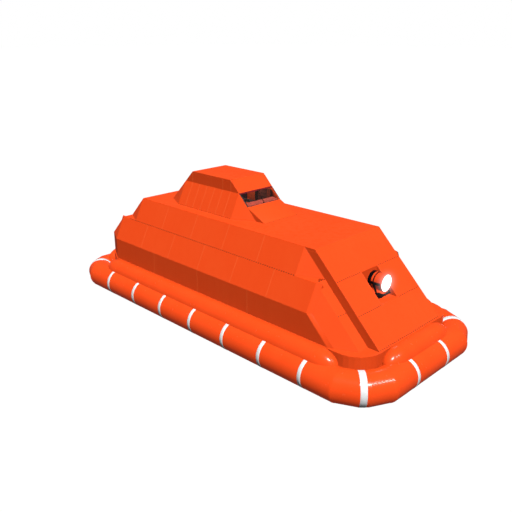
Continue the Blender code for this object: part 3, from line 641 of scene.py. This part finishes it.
def tapes_on(start, end, across, stations):
    along = (end - start).normalized()
    return [taller(wrap(start + along * station, across, UPPER_SKIN, TAPE_HALF, TAPE_LIFT), start)
            for station in stations]


tapes = []
for where, start, end, across in UPPER_RUNS:
    run = (Vector(end) - Vector(start)).length
    count = max(1, round(run / LENGTH_OF_FABRIC))
    stations = [run * k / count for k in range(count + 1)]
    tapes += tapes_on(at(*start, UPPER_Z), at(*end, UPPER_Z), across, stations)
for node, centre, bend_radius, first in COLLAR_BENDS:
    for turn, mitre_reach in (MITRES[1], MITRES[-2]):
        place, across = bend_station(at(*centre, COLLAR_Z), bend_radius, first, turn, mitre_reach)
        tapes.append(wrap(place, across, COLLAR_SKIN, TAPE_HALF, TAPE_LIFT))
piece("tube_joint_tapes", gather(tapes), tube_fabric)


# White bands: reflective tape wrapped round the outer ring about every metre, with its small honeycomb of
# cells, so that a searchlight finds the boat at night.
BAND_HALF = 0.04
BAND_EDGE = 0.06
BEND_BAND_HALF = 0.060
BEND_BAND_EDGE = 0.04
BEND_BAND_SHIFT = 0.028
BEND_BAND_REACH = math.cos(math.radians(6))
SIDE_BANDS = [k + 0.29 for k in range(-3, 4)]
END_BANDS = (-0.55, 0.45)

reflective = Finish("reflective_tape", roughness=0.35, slot="orange_tube")
honeycomb = reflective.cells(110.0, "DISTANCE_TO_EDGE").ramp(0.02, 0.08)
grime = reflective.noise(7.0, 4.0).ramp(0.5, 0.8)
clean = reflective.blend(honeycomb, (0.80, 0.82, 0.84), (0.97, 0.97, 0.97))
reflective.set("Base Color", reflective.blend(grime * 0.12, clean, (0.55, 0.50, 0.46)))
reflective.set("Roughness", 0.55 - 0.25 * honeycomb)
reflective.bump(honeycomb, 0.0002)

band_places = [((x, side * COLLAR_Y), (0, side, 0)) for side in (1, -1) for x in SIDE_BANDS]
band_places += [((x, y), (facing, 0, 0)) for x, facing in ((BOW_X, 1), (STERN_X, -1)) for y in END_BANDS]
bands = [wrap(at(*place, COLLAR_Z), Vector(across), COLLAR_SKIN, BAND_HALF, BAND_LIFT, BAND_EDGE)
         for place, across in band_places]
for k, (node, centre, bend_radius, first) in enumerate(COLLAR_BENDS):
    place, across = bend_station(at(*centre, COLLAR_Z), bend_radius, first, 45, BEND_BAND_REACH)
    shift = BEND_BAND_SHIFT * (-1) ** k * across.cross(UP)
    bands.append(wrap(place + shift, across, COLLAR_SKIN, BEND_BAND_HALF, BAND_LIFT, BEND_BAND_EDGE))
piece("reflective_bands", gather(bands), reflective)


# Searchlight: a turned alloy drum in orange enamel, with a black clamp band, a cooling ring and side rails.
# It tilts in a black steel yoke that pans on a foot bolted to the niche floor.
LAMP_AT = (3.49, 0, 0.82)
LAMP_R = 0.17
LAMP_HALF = 0.16
LAMP_SKIN = LAMP_R - 0.008
LAMP_REAR = -LAMP_HALF
RAIL_HALF = 0.024
RAIL_IN = LAMP_SKIN - 0.015
RAIL_OUT = 0.178
RAIL_ENDS = (LAMP_REAR + 0.015, LAMP_HALF - 0.036)
LAMP_SIDES = 96
beam = Vector((1, 0, 0))

enamel = Finish("lamp_enamel", roughness=0.35)
enamel.set("Roughness", 0.3 + 0.1 * enamel.mottle(40.0, ORANGE, TUBE_DEEP, 3.0))
enamel.grain(300.0, 0.0002)
black_paint = Finish("black_paint_on_steel", roughness=0.45, specular=0.12, slot="black_paint")
chips = black_paint.noise(60.0, 5.0).ramp(0.68, 0.74)
black_paint.set("Base Color", black_paint.blend(chips, (0.002, 0.002, 0.004), (0.03, 0.028, 0.026)))
black_paint.set("Roughness", 0.4 + 0.25 * chips)
black_paint.grain(350.0, 0.0003)
lamp_glass = Finish("lit_lamp_glass", roughness=0.12, slot="lamp_lens")
lamp_ribs = (lamp_glass.axes()[1] * 260.0).sine()
lamp_glass.set("Base Color", (1.0, 1.0, 1.0))
lamp_glass.set("Emission Color", lamp_glass.blend(lamp_ribs * 0.5 + 0.5, (0.96, 0.98, 1.0), (1.0, 1.0, 1.0)))
lamp_glass.set("Emission Strength", 3.0)
steel = Finish("stainless_steel", roughness=0.28, metallic=1.0, slot="stainless_steel")
brushed = steel.noise(1.0, 3.0, steel.stretched((30.0, 400.0, 400.0)))
steel.set("Base Color", steel.blend(brushed, (0.50, 0.50, 0.51), (0.68, 0.68, 0.69)))
steel.set("Roughness", 0.22 + 0.16 * brushed)
steel.bump(brushed, 0.0001)

# Profiles of the drum and the lens, from columns: place along the beam from the rear or front, radius
DRUM_REAR = [(0, 0), (0, 0.05), (0.004, 0.055), (0.004, 0.140), (0.001, 0.144), (0.001, 0.150),
             (0.010, 0.160), (0.014, LAMP_SKIN)]
DRUM_FRONT = [(-0.038, LAMP_SKIN), (-0.034, 0.168), (-0.030, LAMP_R), (-0.003, LAMP_R), (0, 0.167),
              (0, 0.160), (-0.002, 0.158), (-0.020, 0.158), (-0.020, 0)]
LENS = [(-0.019, 0), (-0.019, 0.1575), (-0.006, 0.1575), (-0.003, 0.14), (-0.001, 0.08), (-0.0005, 0)]
lamp = at(*LAMP_AT)
lamp_front = lamp + beam * LAMP_HALF
drum = [(x - 2 * LAMP_HALF, radius) for x, radius in DRUM_REAR] + DRUM_FRONT
piece("lamp_drum", turned(drum, LAMP_SIDES, lamp_front, beam), enamel, "light_head", replaces=["light_drum"])


def sleeve(start, inner, outer, wide, edge, sides=LAMP_SIDES, direction=beam):
    """A flat ring with eased edges about a line."""
    across, up, way = Vector(direction).to_track_quat("Z", "Y").to_matrix().col
    section = [(0, inner), (0, outer - edge), (edge, outer), (wide - edge, outer), (wide, outer - edge),
               (wide, inner)]
    rings = [circle(start + along * way, across, up, r, sides) for along, r in section]
    return loft(rings, looped=True)


def block(low, high, edge):
    """A box with eased upright and level edges, from its corners."""
    low = Vector(low)
    high = Vector(high)
    rings = []
    for height, inset in ((low.z, edge), (low.z + edge, 0), (high.z - edge, 0), (high.z, edge)):
        x0, y0, x1, y1 = low.x + inset, low.y + inset, high.x - inset, high.y - inset
        rings.append([Vector((x, y, height)) for x, y in (
            (x0 + edge, y0), (x1 - edge, y0), (x1, y0 + edge), (x1, y1 - edge),
            (x1 - edge, y1), (x0 + edge, y1), (x0, y1 - edge), (x0, y0 + edge))])
    return loft(rings)


# The clamp band and the cooling ring, from columns: place from the rear, outer radius, width
LAMP_BANDS = [(0.006, LAMP_R, 0.070), (0.118, LAMP_R - 0.002, 0.022)]
trim = [sleeve(lamp + beam * (LAMP_REAR + start), LAMP_SKIN - 0.004, outer, wide, 0.002)
        for start, outer, wide in LAMP_BANDS]
PIN = [(LAMP_SKIN, 0), (LAMP_SKIN, 0.015), (0.1845, 0.015), (0.1845, 0)]
for side in (1, -1):
    inner, outer = sorted((side * RAIL_IN, side * RAIL_OUT))
    trim.append(block(lamp + Vector((RAIL_ENDS[0], inner, -RAIL_HALF)),
                      lamp + Vector((RAIL_ENDS[1], outer, RAIL_HALF)), 0.003))
    trim.append(turned(PIN, 24, lamp, (0, side, 0)))
piece("lamp_bands_and_rails", gather(trim), black_paint, "light_head")
lens = turned(LENS, LAMP_SIDES, lamp_front, beam)
piece("lamp_lens", lens, lamp_glass, "light_head", replaces=["light_lens"])

rim_screws = [rivet_head(lamp_front - beam * 0.016 + out * LAMP_R, out, 0.006, 0.004, 12)
              for out in circle(Vector(), Vector((0, 1, 0)), UP, 1.0, 4)]
piece("lamp_rim_screws", gather(rim_screws), steel, "light_head")

dress(["light_yoke", "light_foot"], black_paint, 0.002)

# The lit lens is the only thing bright enough to pass this bloom, which gives it a soft halo
scene.use_nodes = True
picture_nodes = scene.node_tree.nodes
picture_nodes.clear()
layers = picture_nodes.new("CompositorNodeRLayers")
halo = picture_nodes.new("CompositorNodeGlare")
halo.glare_type = "BLOOM"
halo.quality = "HIGH"
for name, value in (("Threshold", 1.9), ("Strength", 0.8), ("Size", 0.02)):
    halo.inputs[name].default_value = value
shown = picture_nodes.new("CompositorNodeComposite")
scene.node_tree.links.new(layers.outputs["Image"], halo.inputs["Image"])
scene.node_tree.links.new(halo.outputs["Image"], shown.inputs["Image"])


# Window: one pane of toughened glass in a rebate across the wheelhouse front. A maroon rubber lip runs along
# its top, and black ones up its starboard edge and along its foot.
glass = Finish("window_pane", roughness=0.04, specular=0.3)
film = glass.mottle(5.0, (0.014, 0.010, 0.008), (0.022, 0.016, 0.013), 3.0)
glass.set("Alpha", 0.30)
glass.set("Roughness", 0.03 + 0.04 * film)
dress(["window"], glass)

rubber = Finish("black_rubber", roughness=0.65, specular=0.3, slot="black_paint")
rubber.mottle(80.0, (0.012, 0.011, 0.011), (0.03, 0.028, 0.027))
rubber.grain(400.0, 0.0002)
maroon = Finish("maroon_rubber", roughness=0.7, specular=0.2, slot="black_paint")
maroon.mottle(60.0, (0.14, 0.006, 0.010), (0.20, 0.009, 0.015))
maroon.grain(400.0, 0.0002)

PANE_FOOT = Vector((0.5, 0, 1.75))
PANE_HEAD = Vector((0.25, 0, 2.0))


def on_pane(y, up_pane, lift=0.0):
    """A place on the window, from its middle: across, part of the way up, and out."""
    return at(*PANE_FOOT.lerp(PANE_HEAD, up_pane)) + Vector((0, y, 0)) + RAMP_OUT * lift


top_lip = strip(on_pane(-0.495, 0.955), on_pane(0.495, 0.955), RAMP_OUT, 0.015, 0.003)
piece("window_top_lip", top_lip, maroon)
lips = [strip(on_pane(-0.475, 0.02), on_pane(-0.475, 0.92), RAMP_OUT, 0.016, 0.003),
        strip(on_pane(-0.46, 0.008), on_pane(0.49, 0.008), RAMP_OUT, 0.003, 0.002)]
piece("window_lips", gather(lips), rubber)


# Wiper: a pressed steel arm, painted black, on a spindle through the foot of the pane. It lies up the glass
# with its rubber blade.
foot = on_pane(-0.004, 0.05)
elbow = on_pane(-0.004, 0.30, 0.016)
tip = on_pane(0.03, 0.93, 0.006)
SPINDLE = [(0, 0), (0, 0.014), (0.012, 0.013), (0.016, 0.006), (0.016, 0)]
wiper = [turned(SPINDLE, 16, foot, RAMP_OUT),
         strip(foot + RAMP_OUT * 0.012, elbow, RAMP_OUT, 0.006, 0.004),
         strip(elbow, tip, RAMP_OUT, 0.005, 0.004),
         strip(on_pane(-0.07, 0.34), on_pane(0.09, 0.95), RAMP_OUT, 0.004, 0.008)]
piece("wiper", gather(wiper), black_paint)


# Wheelhouse lining: laminated frames and a dark switch board on the port wall, a near-black sheet aft of them
# that is painted shade over the far end of the cabin, and a shelf under the window in a paler, scuffed gel
# coat whose pink tint is a painted reflection of the window's sheen. A small dome lamp in the roof lights
# them.
LINING_Y = 0.579
LEAN = 0.5
LINING_RAKE = 0.48
RAKE_Z = 1.80
LINING_FOOT = 1.506
LINING_HEAD = 1.93
SHELF_Z = 1.745
SHELF_THICK = 0.018
# Outlines from above (x, y) of the shelf and of the port floor mat
SHELF_PLAN = [(0.22, -0.57), (0.40, -0.49), (0.472, -0.455), (0.472, 0.455), (0.40, 0.49), (0.22, 0.57)]
MAT_PLAN = [(-1.30, 0.452), (0.10, 0.452), (0.10, 0.685), (-1.30, 0.685)]
MAT_Z = 1.501
MAT_THICK = 0.004

# The shelf's pink tint is a painted reflection: the window's bluish sheen over orange gel coat, put into its
# colour.
shelf_coat = Finish("pink_gel_coat_painted_reflection", roughness=0.5, specular=0.2)
shelf_wear = shelf_coat.mottle(11.0, (0.66, 0.112, 0.075), (0.76, 0.136, 0.095), 4.0)
shelf_coat.set("Roughness", 0.42 + 0.2 * shelf_wear)
shelf_coat.grain(240.0, 0.0003)


def slab(outline, offset):
    """A plate from an outline in space and the offset to its other face."""
    return loft([outline, [p + offset for p in outline]])


def on_lining(x, z, lift=0.0):
    """A place on the port inside wall of the wheelhouse, which leans in and whose frames rake forward."""
    return at(x + (z - RAKE_Z) * LINING_RAKE, LINING_Y - (z - SHELF_Z) * LEAN, z) - SLOPE_OUT * lift


shelf = slab([at(*place, SHELF_Z) for place in SHELF_PLAN], -UP * SHELF_THICK)
piece("window_shelf", shelf, shelf_coat, smooth=False)
# Lining, from columns: name, start and end at the rake's height, thickness, darker and lighter colour
LINING = [
    # This sheet is painted shade: a near-black panel that darkens the far end of the wheelhouse, where there
    # is only shadow.
    ("wheelhouse_painted_shade_sheet", -1.15, -0.59, 0.010, (0.055, 0.010, 0.024), (0.075, 0.013, 0.032)),
    ("wheelhouse_aft_panel", -0.50, -0.325, 0.010, (0.80, 0.083, 0.016), (0.93, 0.095, 0.018)),
    ("wheelhouse_frame", -0.305, -0.24, 0.026, (0.016, 0.008, 0.008), (0.026, 0.012, 0.011)),
    ("switch_board", -0.225, 0.046, 0.014, (0.23, 0.062, 0.043), (0.27, 0.072, 0.049)),
    ("wheelhouse_fore_panel", 0.055, 0.165, 0.010, (0.42, 0.075, 0.036), (0.49, 0.085, 0.040)),
    ("wheelhouse_fore_frame", 0.172, 0.20, 0.022, (0.016, 0.008, 0.008), (0.026, 0.012, 0.011)),
]
for name, start, end, thick, darker, lighter in LINING:
    paint = Finish(name + "_paint", roughness=0.5, specular=0.3)
    paint.set("Roughness", 0.45 + 0.15 * paint.mottle(30.0, darker, lighter, 3.0))
    paint.grain(300.0, 0.0003)
    outline = [on_lining(start, LINING_FOOT), on_lining(end, LINING_FOOT), on_lining(end, LINING_HEAD),
               on_lining(start, LINING_HEAD)]
    piece(name, slab(outline, -SLOPE_OUT * thick), paint, smooth=False)
mats = [slab([at(x, side * y, MAT_Z) for x, y in MAT_PLAN], UP * MAT_THICK) for side in (1, -1)]
piece("helm_floor_mats", gather(mats), rubber, smooth=False)
SWITCH = [(0, 0), (0, 0.009), (0.006, 0.008), (0.008, 0.003), (0.020, 0.003), (0.020, 0)]
switches = [turned(SWITCH, 12, on_lining(-0.19 + 0.04 * column, 1.68 + 0.10 * row, 0.014), -SLOPE_OUT)
            for row in range(3) for column in range(6)]
piece("board_switches", gather(switches), black_paint)

dome_lamp = bpy.data.lights.new("dome_lamp", "POINT")
dome_lamp.energy = 24.0
dome_lamp.shadow_soft_size = 0.04
dome_stand = set_up("dome_lamp", dome_lamp)
dome_stand.location = at(-0.50, 0.0, 2.12)
dome_stand.visible_glossy = False


# Stern hatch: a glass-fibre lid on two stainless hinges, pulled down on a rubber seal by two lever dogs. Its
# edge and its two stiffening ribs are moulded proud, and a bent rod serves as a handle.
HATCH_THICK = 0.035
HATCH_FACE = HATCH_THICK - 0.001
HATCH_FROM_ROOF = 0.22
RIB_EDGE = 0.3
HANDLE_DOWN = 0.62
HANDLE_LIFT = 0.055
HANDLE_BEND = 0.03
HANDLE_Y = 0.10
DOGS_DOWN = 0.70
DOGS_Y = 0.30
DOG_TALL = 0.034
LEVER_LONG = 0.15
SEAL_DEEP = -0.012
hatch_down = Vector((-1, 0, -1)).normalized()
hatch_out = Vector((-1, 0, 1)).normalized()
hatch_top = at(-2.5, 0, 1.5) + hatch_down * HATCH_FROM_ROOF


def on_hatch(down, y, lift=HATCH_THICK):
    """A place on the lid, or over the stern slope, from the upper edge of the hatch."""
    return hatch_top + hatch_down * down + Vector((0, y, 0)) + hatch_out * lift


def plank(start, end, wide, tall, out=hatch_out):
    """A long raised moulding with bevelled edges, between two places on a surface."""
    along = (end - start).normalized()
    across = along.cross(out).normalized() * wide
    rings = []
    for lift, inset in ((0.0, 0.0), (tall * (1 - RIB_EDGE), 0.0), (tall, RIB_EDGE)):
        trim = along * inset * tall
        side = across * (1 - inset * tall / wide)
        rings.append([p + out * lift for p in (start + trim - side, end - trim - side, end - trim + side,
                                               start + trim + side)])
    return loft(rings)


def rod(places, radius, sides=12):
    """A bent rod through places, with level ends."""
    rings = []
    for k, place in enumerate(places):
        along = (places[min(len(places) - 1, k + 1)] - places[max(0, k - 1)]).normalized()
        across = along.orthogonal() if k == 0 else across - along * across.dot(along)
        across = across.normalized()
        rings.append(circle(place, across, along.cross(across), radius, sides))
    return loft(rings)


dress(["stern_hatch"], canopy_coat, 0.003)
# Ribs, from columns: start and end, each down the lid and across it
RIBS = [((0.06, -0.435), (0.82, -0.435)), ((0.06, 0.435), (0.82, 0.435)), ((0.80, -0.415), (0.80, 0.415)),
        ((0.08, -0.415), (0.08, 0.415)), ((0.16, -0.16), (0.72, -0.16)), ((0.16, 0.16), (0.72, 0.16))]
ribs = [plank(on_hatch(*start, HATCH_FACE), on_hatch(*end, HATCH_FACE), 0.018, 0.008) for start, end in RIBS]
piece("hatch_ribs", gather(ribs), canopy_coat, "hatch", smooth=False)

# Half of the handle's line, from columns: place across the lid, height over it
bend = [(HANDLE_BEND * (1 - math.cos(QUARTER * k / 6)), HANDLE_BEND * (1 - math.sin(QUARTER * k / 6)))
        for k in range(7)]
half = [(HANDLE_Y, 0)] + [(HANDLE_Y - inward, HANDLE_LIFT - under) for inward, under in bend]
handle = [on_hatch(HANDLE_DOWN, -y, HATCH_THICK + lift) for y, lift in half]
handle += [on_hatch(HANDLE_DOWN, y, HATCH_THICK + lift) for y, lift in reversed(half)]
HANDLE_FOOT = [(-0.001, 0), (-0.001, 0.022), (0.004, 0.020), (0.004, 0)]
DOG_BOSS = [(-0.001, 0), (-0.001, 0.034), (0.006, 0.032), (0.010, 0.022), (0.030, 0.020),
            (DOG_TALL, 0.014), (DOG_TALL, 0)]
GRIP = [(0, 0), (0.001, 0.010), (0.010, 0.014), (0.030, 0.015), (0.042, 0.011), (0.046, 0)]
fittings = [rod(handle, 0.008)]
grips = []
for side in (-1, 1):
    fittings.append(turned(HANDLE_FOOT, 24, on_hatch(HANDLE_DOWN, side * HANDLE_Y), hatch_out))
for side in (-1, 1):
    base = on_hatch(DOGS_DOWN, side * DOGS_Y)
    top = base + hatch_out * DOG_TALL
    fittings.append(turned(DOG_BOSS, 28, base, hatch_out))
    fittings.append(rod([base + hatch_out * 0.024, base + hatch_out * 0.030 - hatch_down * 0.04,
                         top - hatch_down * LEVER_LONG], 0.009))
    for y in (-0.022, 0.022):
        fittings.append(rivet_head(base + Vector((0, y, 0)) + hatch_out * 0.006, hatch_out, 0.005, 0.003, 8))
    grips.append(turned(GRIP, 20, top - hatch_down * (LEVER_LONG - 0.005), -hatch_down))
# The hinges' screws, at the lid's upper edge
for side in (-1, 1):
    for down, y in ((0.018, -0.026), (0.018, 0.026), (0.022, 0.0)):
        fittings.append(rivet_head(on_hatch(down, side * DOGS_Y + y, HATCH_FACE), hatch_out, 0.006, 0.003))
piece("hatch_fittings", gather(fittings), steel, "hatch")
piece("dog_grips", gather(grips), rubber, "hatch")

# The seal's sides, from columns: start and end, each down the slope and across it, way in
SEAL = [((0.062, -0.399), (0.798, -0.399), Vector((0, 1, 0))),
        ((0.062, 0.399), (0.798, 0.399), Vector((0, -1, 0))),
        ((0.0605, -0.385), (0.0605, 0.385), hatch_down),
        ((0.7995, -0.385), (0.7995, 0.385), -hatch_down)]
seal = [plank(on_hatch(*start, SEAL_DEEP), on_hatch(*end, SEAL_DEEP), 0.010, 0.010, inward)
        for start, end, inward in SEAL]
piece("hatch_seal", gather(seal), rubber)


# Helm: a grey moulded plastic console bolted under the window, with a throttle and three gauges let into its
# face, and a black wheel. The engine's cover is the same plastic, and the seat's pillar is stainless.
grey_plastic = Finish("grey_moulded_plastic", roughness=0.55, specular=0.4)
grey_plastic.mottle(5.0, (0.20, 0.215, 0.225), (0.26, 0.28, 0.29), 3.0)
stipple = grey_plastic.noise(420.0)
grey_plastic.set("Roughness", 0.5 + 0.12 * stipple)
grey_plastic.bump(stipple, 0.0005)
dress(["helm_console", "engine_block"], grey_plastic, 0.012, 3)
dress(["helm_wheel"], black_paint)
dress(["seat_pillar"], steel)

CONSOLE_BACK = 0.16
AFT = Vector((-1, 0, 0))
BEZEL = [(-0.001, 0), (-0.001, 0.040), (0.006, 0.042), (0.010, 0.038), (0.010, 0.033), (0.005, 0.032),
         (0.005, 0)]
DIAL = [(0.0052, 0), (0.0052, 0.031), (0.0065, 0.030), (0.0065, 0)]
THROTTLE_BASE = [(-0.001, 0), (-0.001, 0.035), (0.010, 0.032), (0.012, 0)]
THROTTLE_KNOB = [(-0.018, 0), (-0.014, 0.012), (0.0, 0.017), (0.014, 0.012), (0.018, 0)]
gauges = [at(CONSOLE_BACK, y, 1.63) for y in (0.06, 0.17, 0.28)]
throttle = at(CONSOLE_BACK, -0.33, 1.60)
stem = [throttle + Vector(bent) for bent in ((-0.010, 0, 0), (-0.040, 0, 0.02), (-0.060, 0, 0.07))]
console = [turned(BEZEL, 36, place, AFT) for place in gauges]
console += [turned(THROTTLE_BASE, 28, throttle, AFT), rod(stem, 0.006),
            turned(THROTTLE_KNOB, 20, throttle + Vector((-0.062, 0, 0.078)), UP)]
piece("console_fittings", gather(console), black_paint)
dial_face = Finish("gauge_face", roughness=0.2, slot="grey_paint")
dial_face.mottle(20.0, (0.70, 0.71, 0.70), (0.80, 0.81, 0.79))
piece("gauge_faces", gather(turned(DIAL, 36, place, AFT) for place in gauges), dial_face)


# Helm seat: a squab and a back of foam in a black coated-cloth cover, each with two sewn channels and a welt
# round its middle. The swell of the foam comes from a short cloth simulation.
SEAT = at(-0.78, 0, 1.0603)
# Pads, from columns: name, middle, half size, lean, axis of its thickness
PADS = [
    ("seat_squab", SEAT + Vector((0.045, 0, 0.044)), Vector((0.185, 0.205, 0.036)), 0.0, 2),
    ("seat_back", SEAT + Vector((-0.221, 0, 0.262)), Vector((0.036, 0.205, 0.185)), math.radians(-10), 0),
]
PAD_CUTS = 30
SQUARENESS = 5
PULL_IN = 0.035
CROWN = 0.22
CHANNELS = (-0.07, 0.07)
CHANNEL_DEEP = 0.007
CHANNEL_WIDE = 0.009
PAD_VOXEL = 0.0055
PRESSURE = 4.0
PRESS_FRAMES = 20
SWELL = 0.006
WELT_R = 0.0035
WELT_SIDES = 8
WELT_STEPS = 96

cover = Finish("black_coated_cloth", roughness=0.62, specular=0.35, slot="seat_cover")
weave_x, weave_y, weave_z = ((axis * 2400.0).sine() for axis in cover.axes())
weave = weave_x * weave_y + 0.5 * weave_z
rubbed = cover.noise(9.0, 4.0).ramp(0.5, 0.78)
cover.set("Base Color", cover.blend(rubbed * 0.6, (0.022, 0.022, 0.025), (0.060, 0.058, 0.060)))
cover.set("Roughness", 0.55 + 0.15 * rubbed)
cover.bump(weave * 0.5 + cover.noise(60.0, 3.0), 0.0004)


def pad(name, middle, half, lean, thin_axis):
    """A crowned cushion with rounded edges, sewn channels, and sides that pull in between its corners."""
    work = bmesh.new()
    bmesh.ops.create_cube(work, size=2.0)
    bmesh.ops.subdivide_edges(work, edges=work.edges, cuts=PAD_CUTS, use_grid_fill=True)
    wide_axes = [axis for axis in range(3) if axis != thin_axis]
    for vert in work.verts:
        unit = vert.co.copy()
        edge = max(abs(c) for c in unit)
        power = sum(abs(c) ** SQUARENESS for c in unit) ** (1 / SQUARENESS)
        unit *= edge / power
        u, v = (unit[axis] for axis in wide_axes)
        for axis in wide_axes:
            unit[axis] *= 1 - PULL_IN * ((1 - abs(u)) * abs(v) + (1 - abs(v)) * abs(u))
        unit[thin_axis] *= 1 - CROWN + CROWN * (1 - u ** 4) * (1 - v ** 4)
        vert.co = unit * half
    mesh = bpy.data.meshes.new(name)
    work.to_mesh(mesh)
    work.free()
    obj = set_up(name, mesh)
    swell(obj)
    for vert in obj.data.vertices:
        inset = sum(math.exp(-((vert.co.y - y) / CHANNEL_WIDE) ** 2) for y in CHANNELS)
        face = vert.co[thin_axis] / half[thin_axis]
        ends = max(abs(vert.co[axis] / half[axis]) for axis in wide_axes if axis != 1)
        if face > 0 or thin_axis == 0:
            deep = CHANNEL_DEEP * inset * min(1.0, abs(face)) * (1 - ends ** 6)
            vert.co[thin_axis] -= math.copysign(deep, face)
    obj.data.transform(Matrix.Translation(middle) @ Matrix.Rotation(lean, 4, "Y"))
    obj.data.materials.append(cover.material)
    obj.data.shade_smooth()
    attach(obj, "boat")
    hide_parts("helm_seat")
    return obj


def swell(obj):
    """Blow the foam up a little inside its cover, and keep every point near where it was cut."""
    remesh = obj.modifiers.new("remesh", "REMESH")
    remesh.mode = "VOXEL"
    remesh.voxel_size = PAD_VOXEL
    apply_modifiers(obj)
    cut = [vert.co.copy() for vert in obj.data.vertices]
    cloth = obj.modifiers.new("cloth", "CLOTH")
    cloth.settings.use_pressure = True
    cloth.settings.uniform_pressure_force = PRESSURE
    cloth.settings.effector_weights.gravity = 0.0
    cloth.point_cache.frame_end = PRESS_FRAMES
    for k in range(PRESS_FRAMES):
        scene.frame_set(k + 1)
    apply_modifiers(obj)
    scene.frame_set(1)
    for vert, start in zip(obj.data.vertices, cut):
        move = vert.co - start
        if move.length > SWELL:
            vert.co = start + move * (SWELL / move.length)
    subdivision = obj.modifiers.new("finer", "SUBSURF")
    subdivision.levels = 1
    subdivision.render_levels = 1
    apply_modifiers(obj)


def apply_modifiers(obj):
    graph = bpy.context.evaluated_depsgraph_get()
    obj.data = bpy.data.meshes.new_from_object(obj.evaluated_get(graph))
    obj.modifiers.clear()


def welt(obj, middle, half, lean, thin_axis):
    """A piped seam round a pad, laid on its skin."""
    skin = BVHTree.FromPolygons([v.co for v in obj.data.vertices], [p.vertices for p in obj.data.polygons])
    turn = Matrix.Translation(middle) @ Matrix.Rotation(lean, 4, "Y")
    wide_axes = [axis for axis in range(3) if axis != thin_axis]
    line = []
    for k in range(WELT_STEPS):
        angle = math.tau * k / WELT_STEPS
        far = Vector((0, 0, 0))
        for axis, reach in zip(wide_axes, (math.cos(angle), math.sin(angle))):
            far[axis] = math.copysign(abs(reach) ** 0.4, reach) * half[axis] * 1.5
        start = turn @ far
        line.append(skin.ray_cast(start, (middle - start).normalized())[0])
    centre = sum(line, Vector()) / WELT_STEPS
    rings = []
    for k, place in enumerate(line):
        along = (line[(k + 1) % WELT_STEPS] - line[k - 1]).normalized()
        across = place - centre
        across = (across - along * across.dot(along)).normalized()
        rings.append(circle(place, across, along.cross(across), WELT_R, WELT_SIDES))
    return loft(rings, looped=True)


welts = [welt(pad(name, *shape), *shape) for name, *shape in PADS]
piece("seat_welts", gather(welts), rubber)


# Drive: a cast bronze propeller in the tunnel, with four blades of aerofoil section and a cone nut, and a
# glass-fibre rudder behind it on a bronze-bushed stock.
bronze = Finish("cast_bronze", roughness=0.35, metallic=1.0, slot="bronze")
tarnish = bronze.noise(9.0, 4.0).ramp(0.4, 0.7)
bronze.set("Base Color", bronze.blend(tarnish, (0.62, 0.38, 0.15), (0.32, 0.22, 0.10)))
bronze.set("Roughness", 0.3 + 0.25 * tarnish)
bronze.bump(bronze.noise(180.0, 3.0), 0.0003)
dress(["rudder"], hull_coat, 0.004)

SHAFT_AT = at(-2.86, 0, -0.745)
BLADES = 4
# Blade sections, from columns: radius, chord, pitch in degrees, thickness
BLADE_TABLE = [
    (0.034, 0.080, 62, 0.015), (0.060, 0.104, 51, 0.013), (0.100, 0.132, 42, 0.0105),
    (0.140, 0.148, 35, 0.009), (0.180, 0.150, 30, 0.0078), (0.212, 0.136, 26, 0.0068),
    (0.235, 0.108, 24, 0.006), (0.248, 0.070, 22.5, 0.005), (0.2545, 0.030, 22, 0.004),
]
# Upper half of a blade's section, from columns: place along the chord, part of the thickness
FOIL = [(-1, 0), (-0.9, 0.45), (-0.6, 0.85), (-0.2, 1.0), (0.2, 0.95), (0.6, 0.65), (0.9, 0.28), (1, 0.08)]
FOIL_UNDER = -0.35
CAMBER = 0.04
# The boss, its cone nut and the shaft, from columns: place along the shaft, radius
BOSS = [(-0.10, 0), (-0.099, 0.008), (-0.094, 0.016), (-0.085, 0.024), (-0.072, 0.031), (-0.062, 0.034),
        (-0.060, 0.0395), (-0.055, 0.042), (0.0, 0.0445), (0.055, 0.045), (0.062, 0.043), (0.066, 0.034),
        (0.070, 0.022), (0.2395, 0.022), (0.2395, 0)]


def blade(angle):
    turn_round = Matrix.Rotation(angle, 3, "X")
    section = FOIL + [(x, FOIL_UNDER * thick) for x, thick in reversed(FOIL[1:])]
    rings = []
    for radius, chord, pitch, thickness in BLADE_TABLE:
        twist = Matrix.Rotation(math.radians(90 - pitch), 3, "Z")
        ring = []
        for x, thick in section:
            flat = twist @ Vector((x * chord / 2, thick * thickness / 2 + CAMBER * (1 - x * x) * chord, 0))
            ring.append(SHAFT_AT + turn_round @ Vector((flat.x, flat.y, radius)))
        rings.append(ring)
    return loft(rings)


screw = [blade(math.tau * k / BLADES) for k in range(BLADES)] + [turned(BOSS, 48, SHAFT_AT, beam)]
piece("screw", gather(screw), bronze, "screw", replaces=["propeller"], crease=30)

STOCK_AT = at(-3.12, 0, -0.4205)
BOLT = [(-0.001, 0), (-0.001, 0.008), (0.006, 0.008), (0.006, 0)]
flange = [sleeve(STOCK_AT, 0.0215, 0.058, 0.012, 0.002, 48, -UP)]
for x, y in ((1, 1), (-1, 1), (-1, -1), (1, -1)):
    place = STOCK_AT + 0.043 * Vector((x, y, 0)).normalized() - UP * 0.012
    flange.append(turned(BOLT, 6, place, -UP))
piece("stock_flange", gather(flange), bronze, smooth=False)


# Light on the paint: no piece throws its orange on another, as under the broad even lamps of a studio. Each
# still shows in reflections.
for obj in scene.objects:
    if obj.type == "MESH":
        obj.visible_diffuse = False
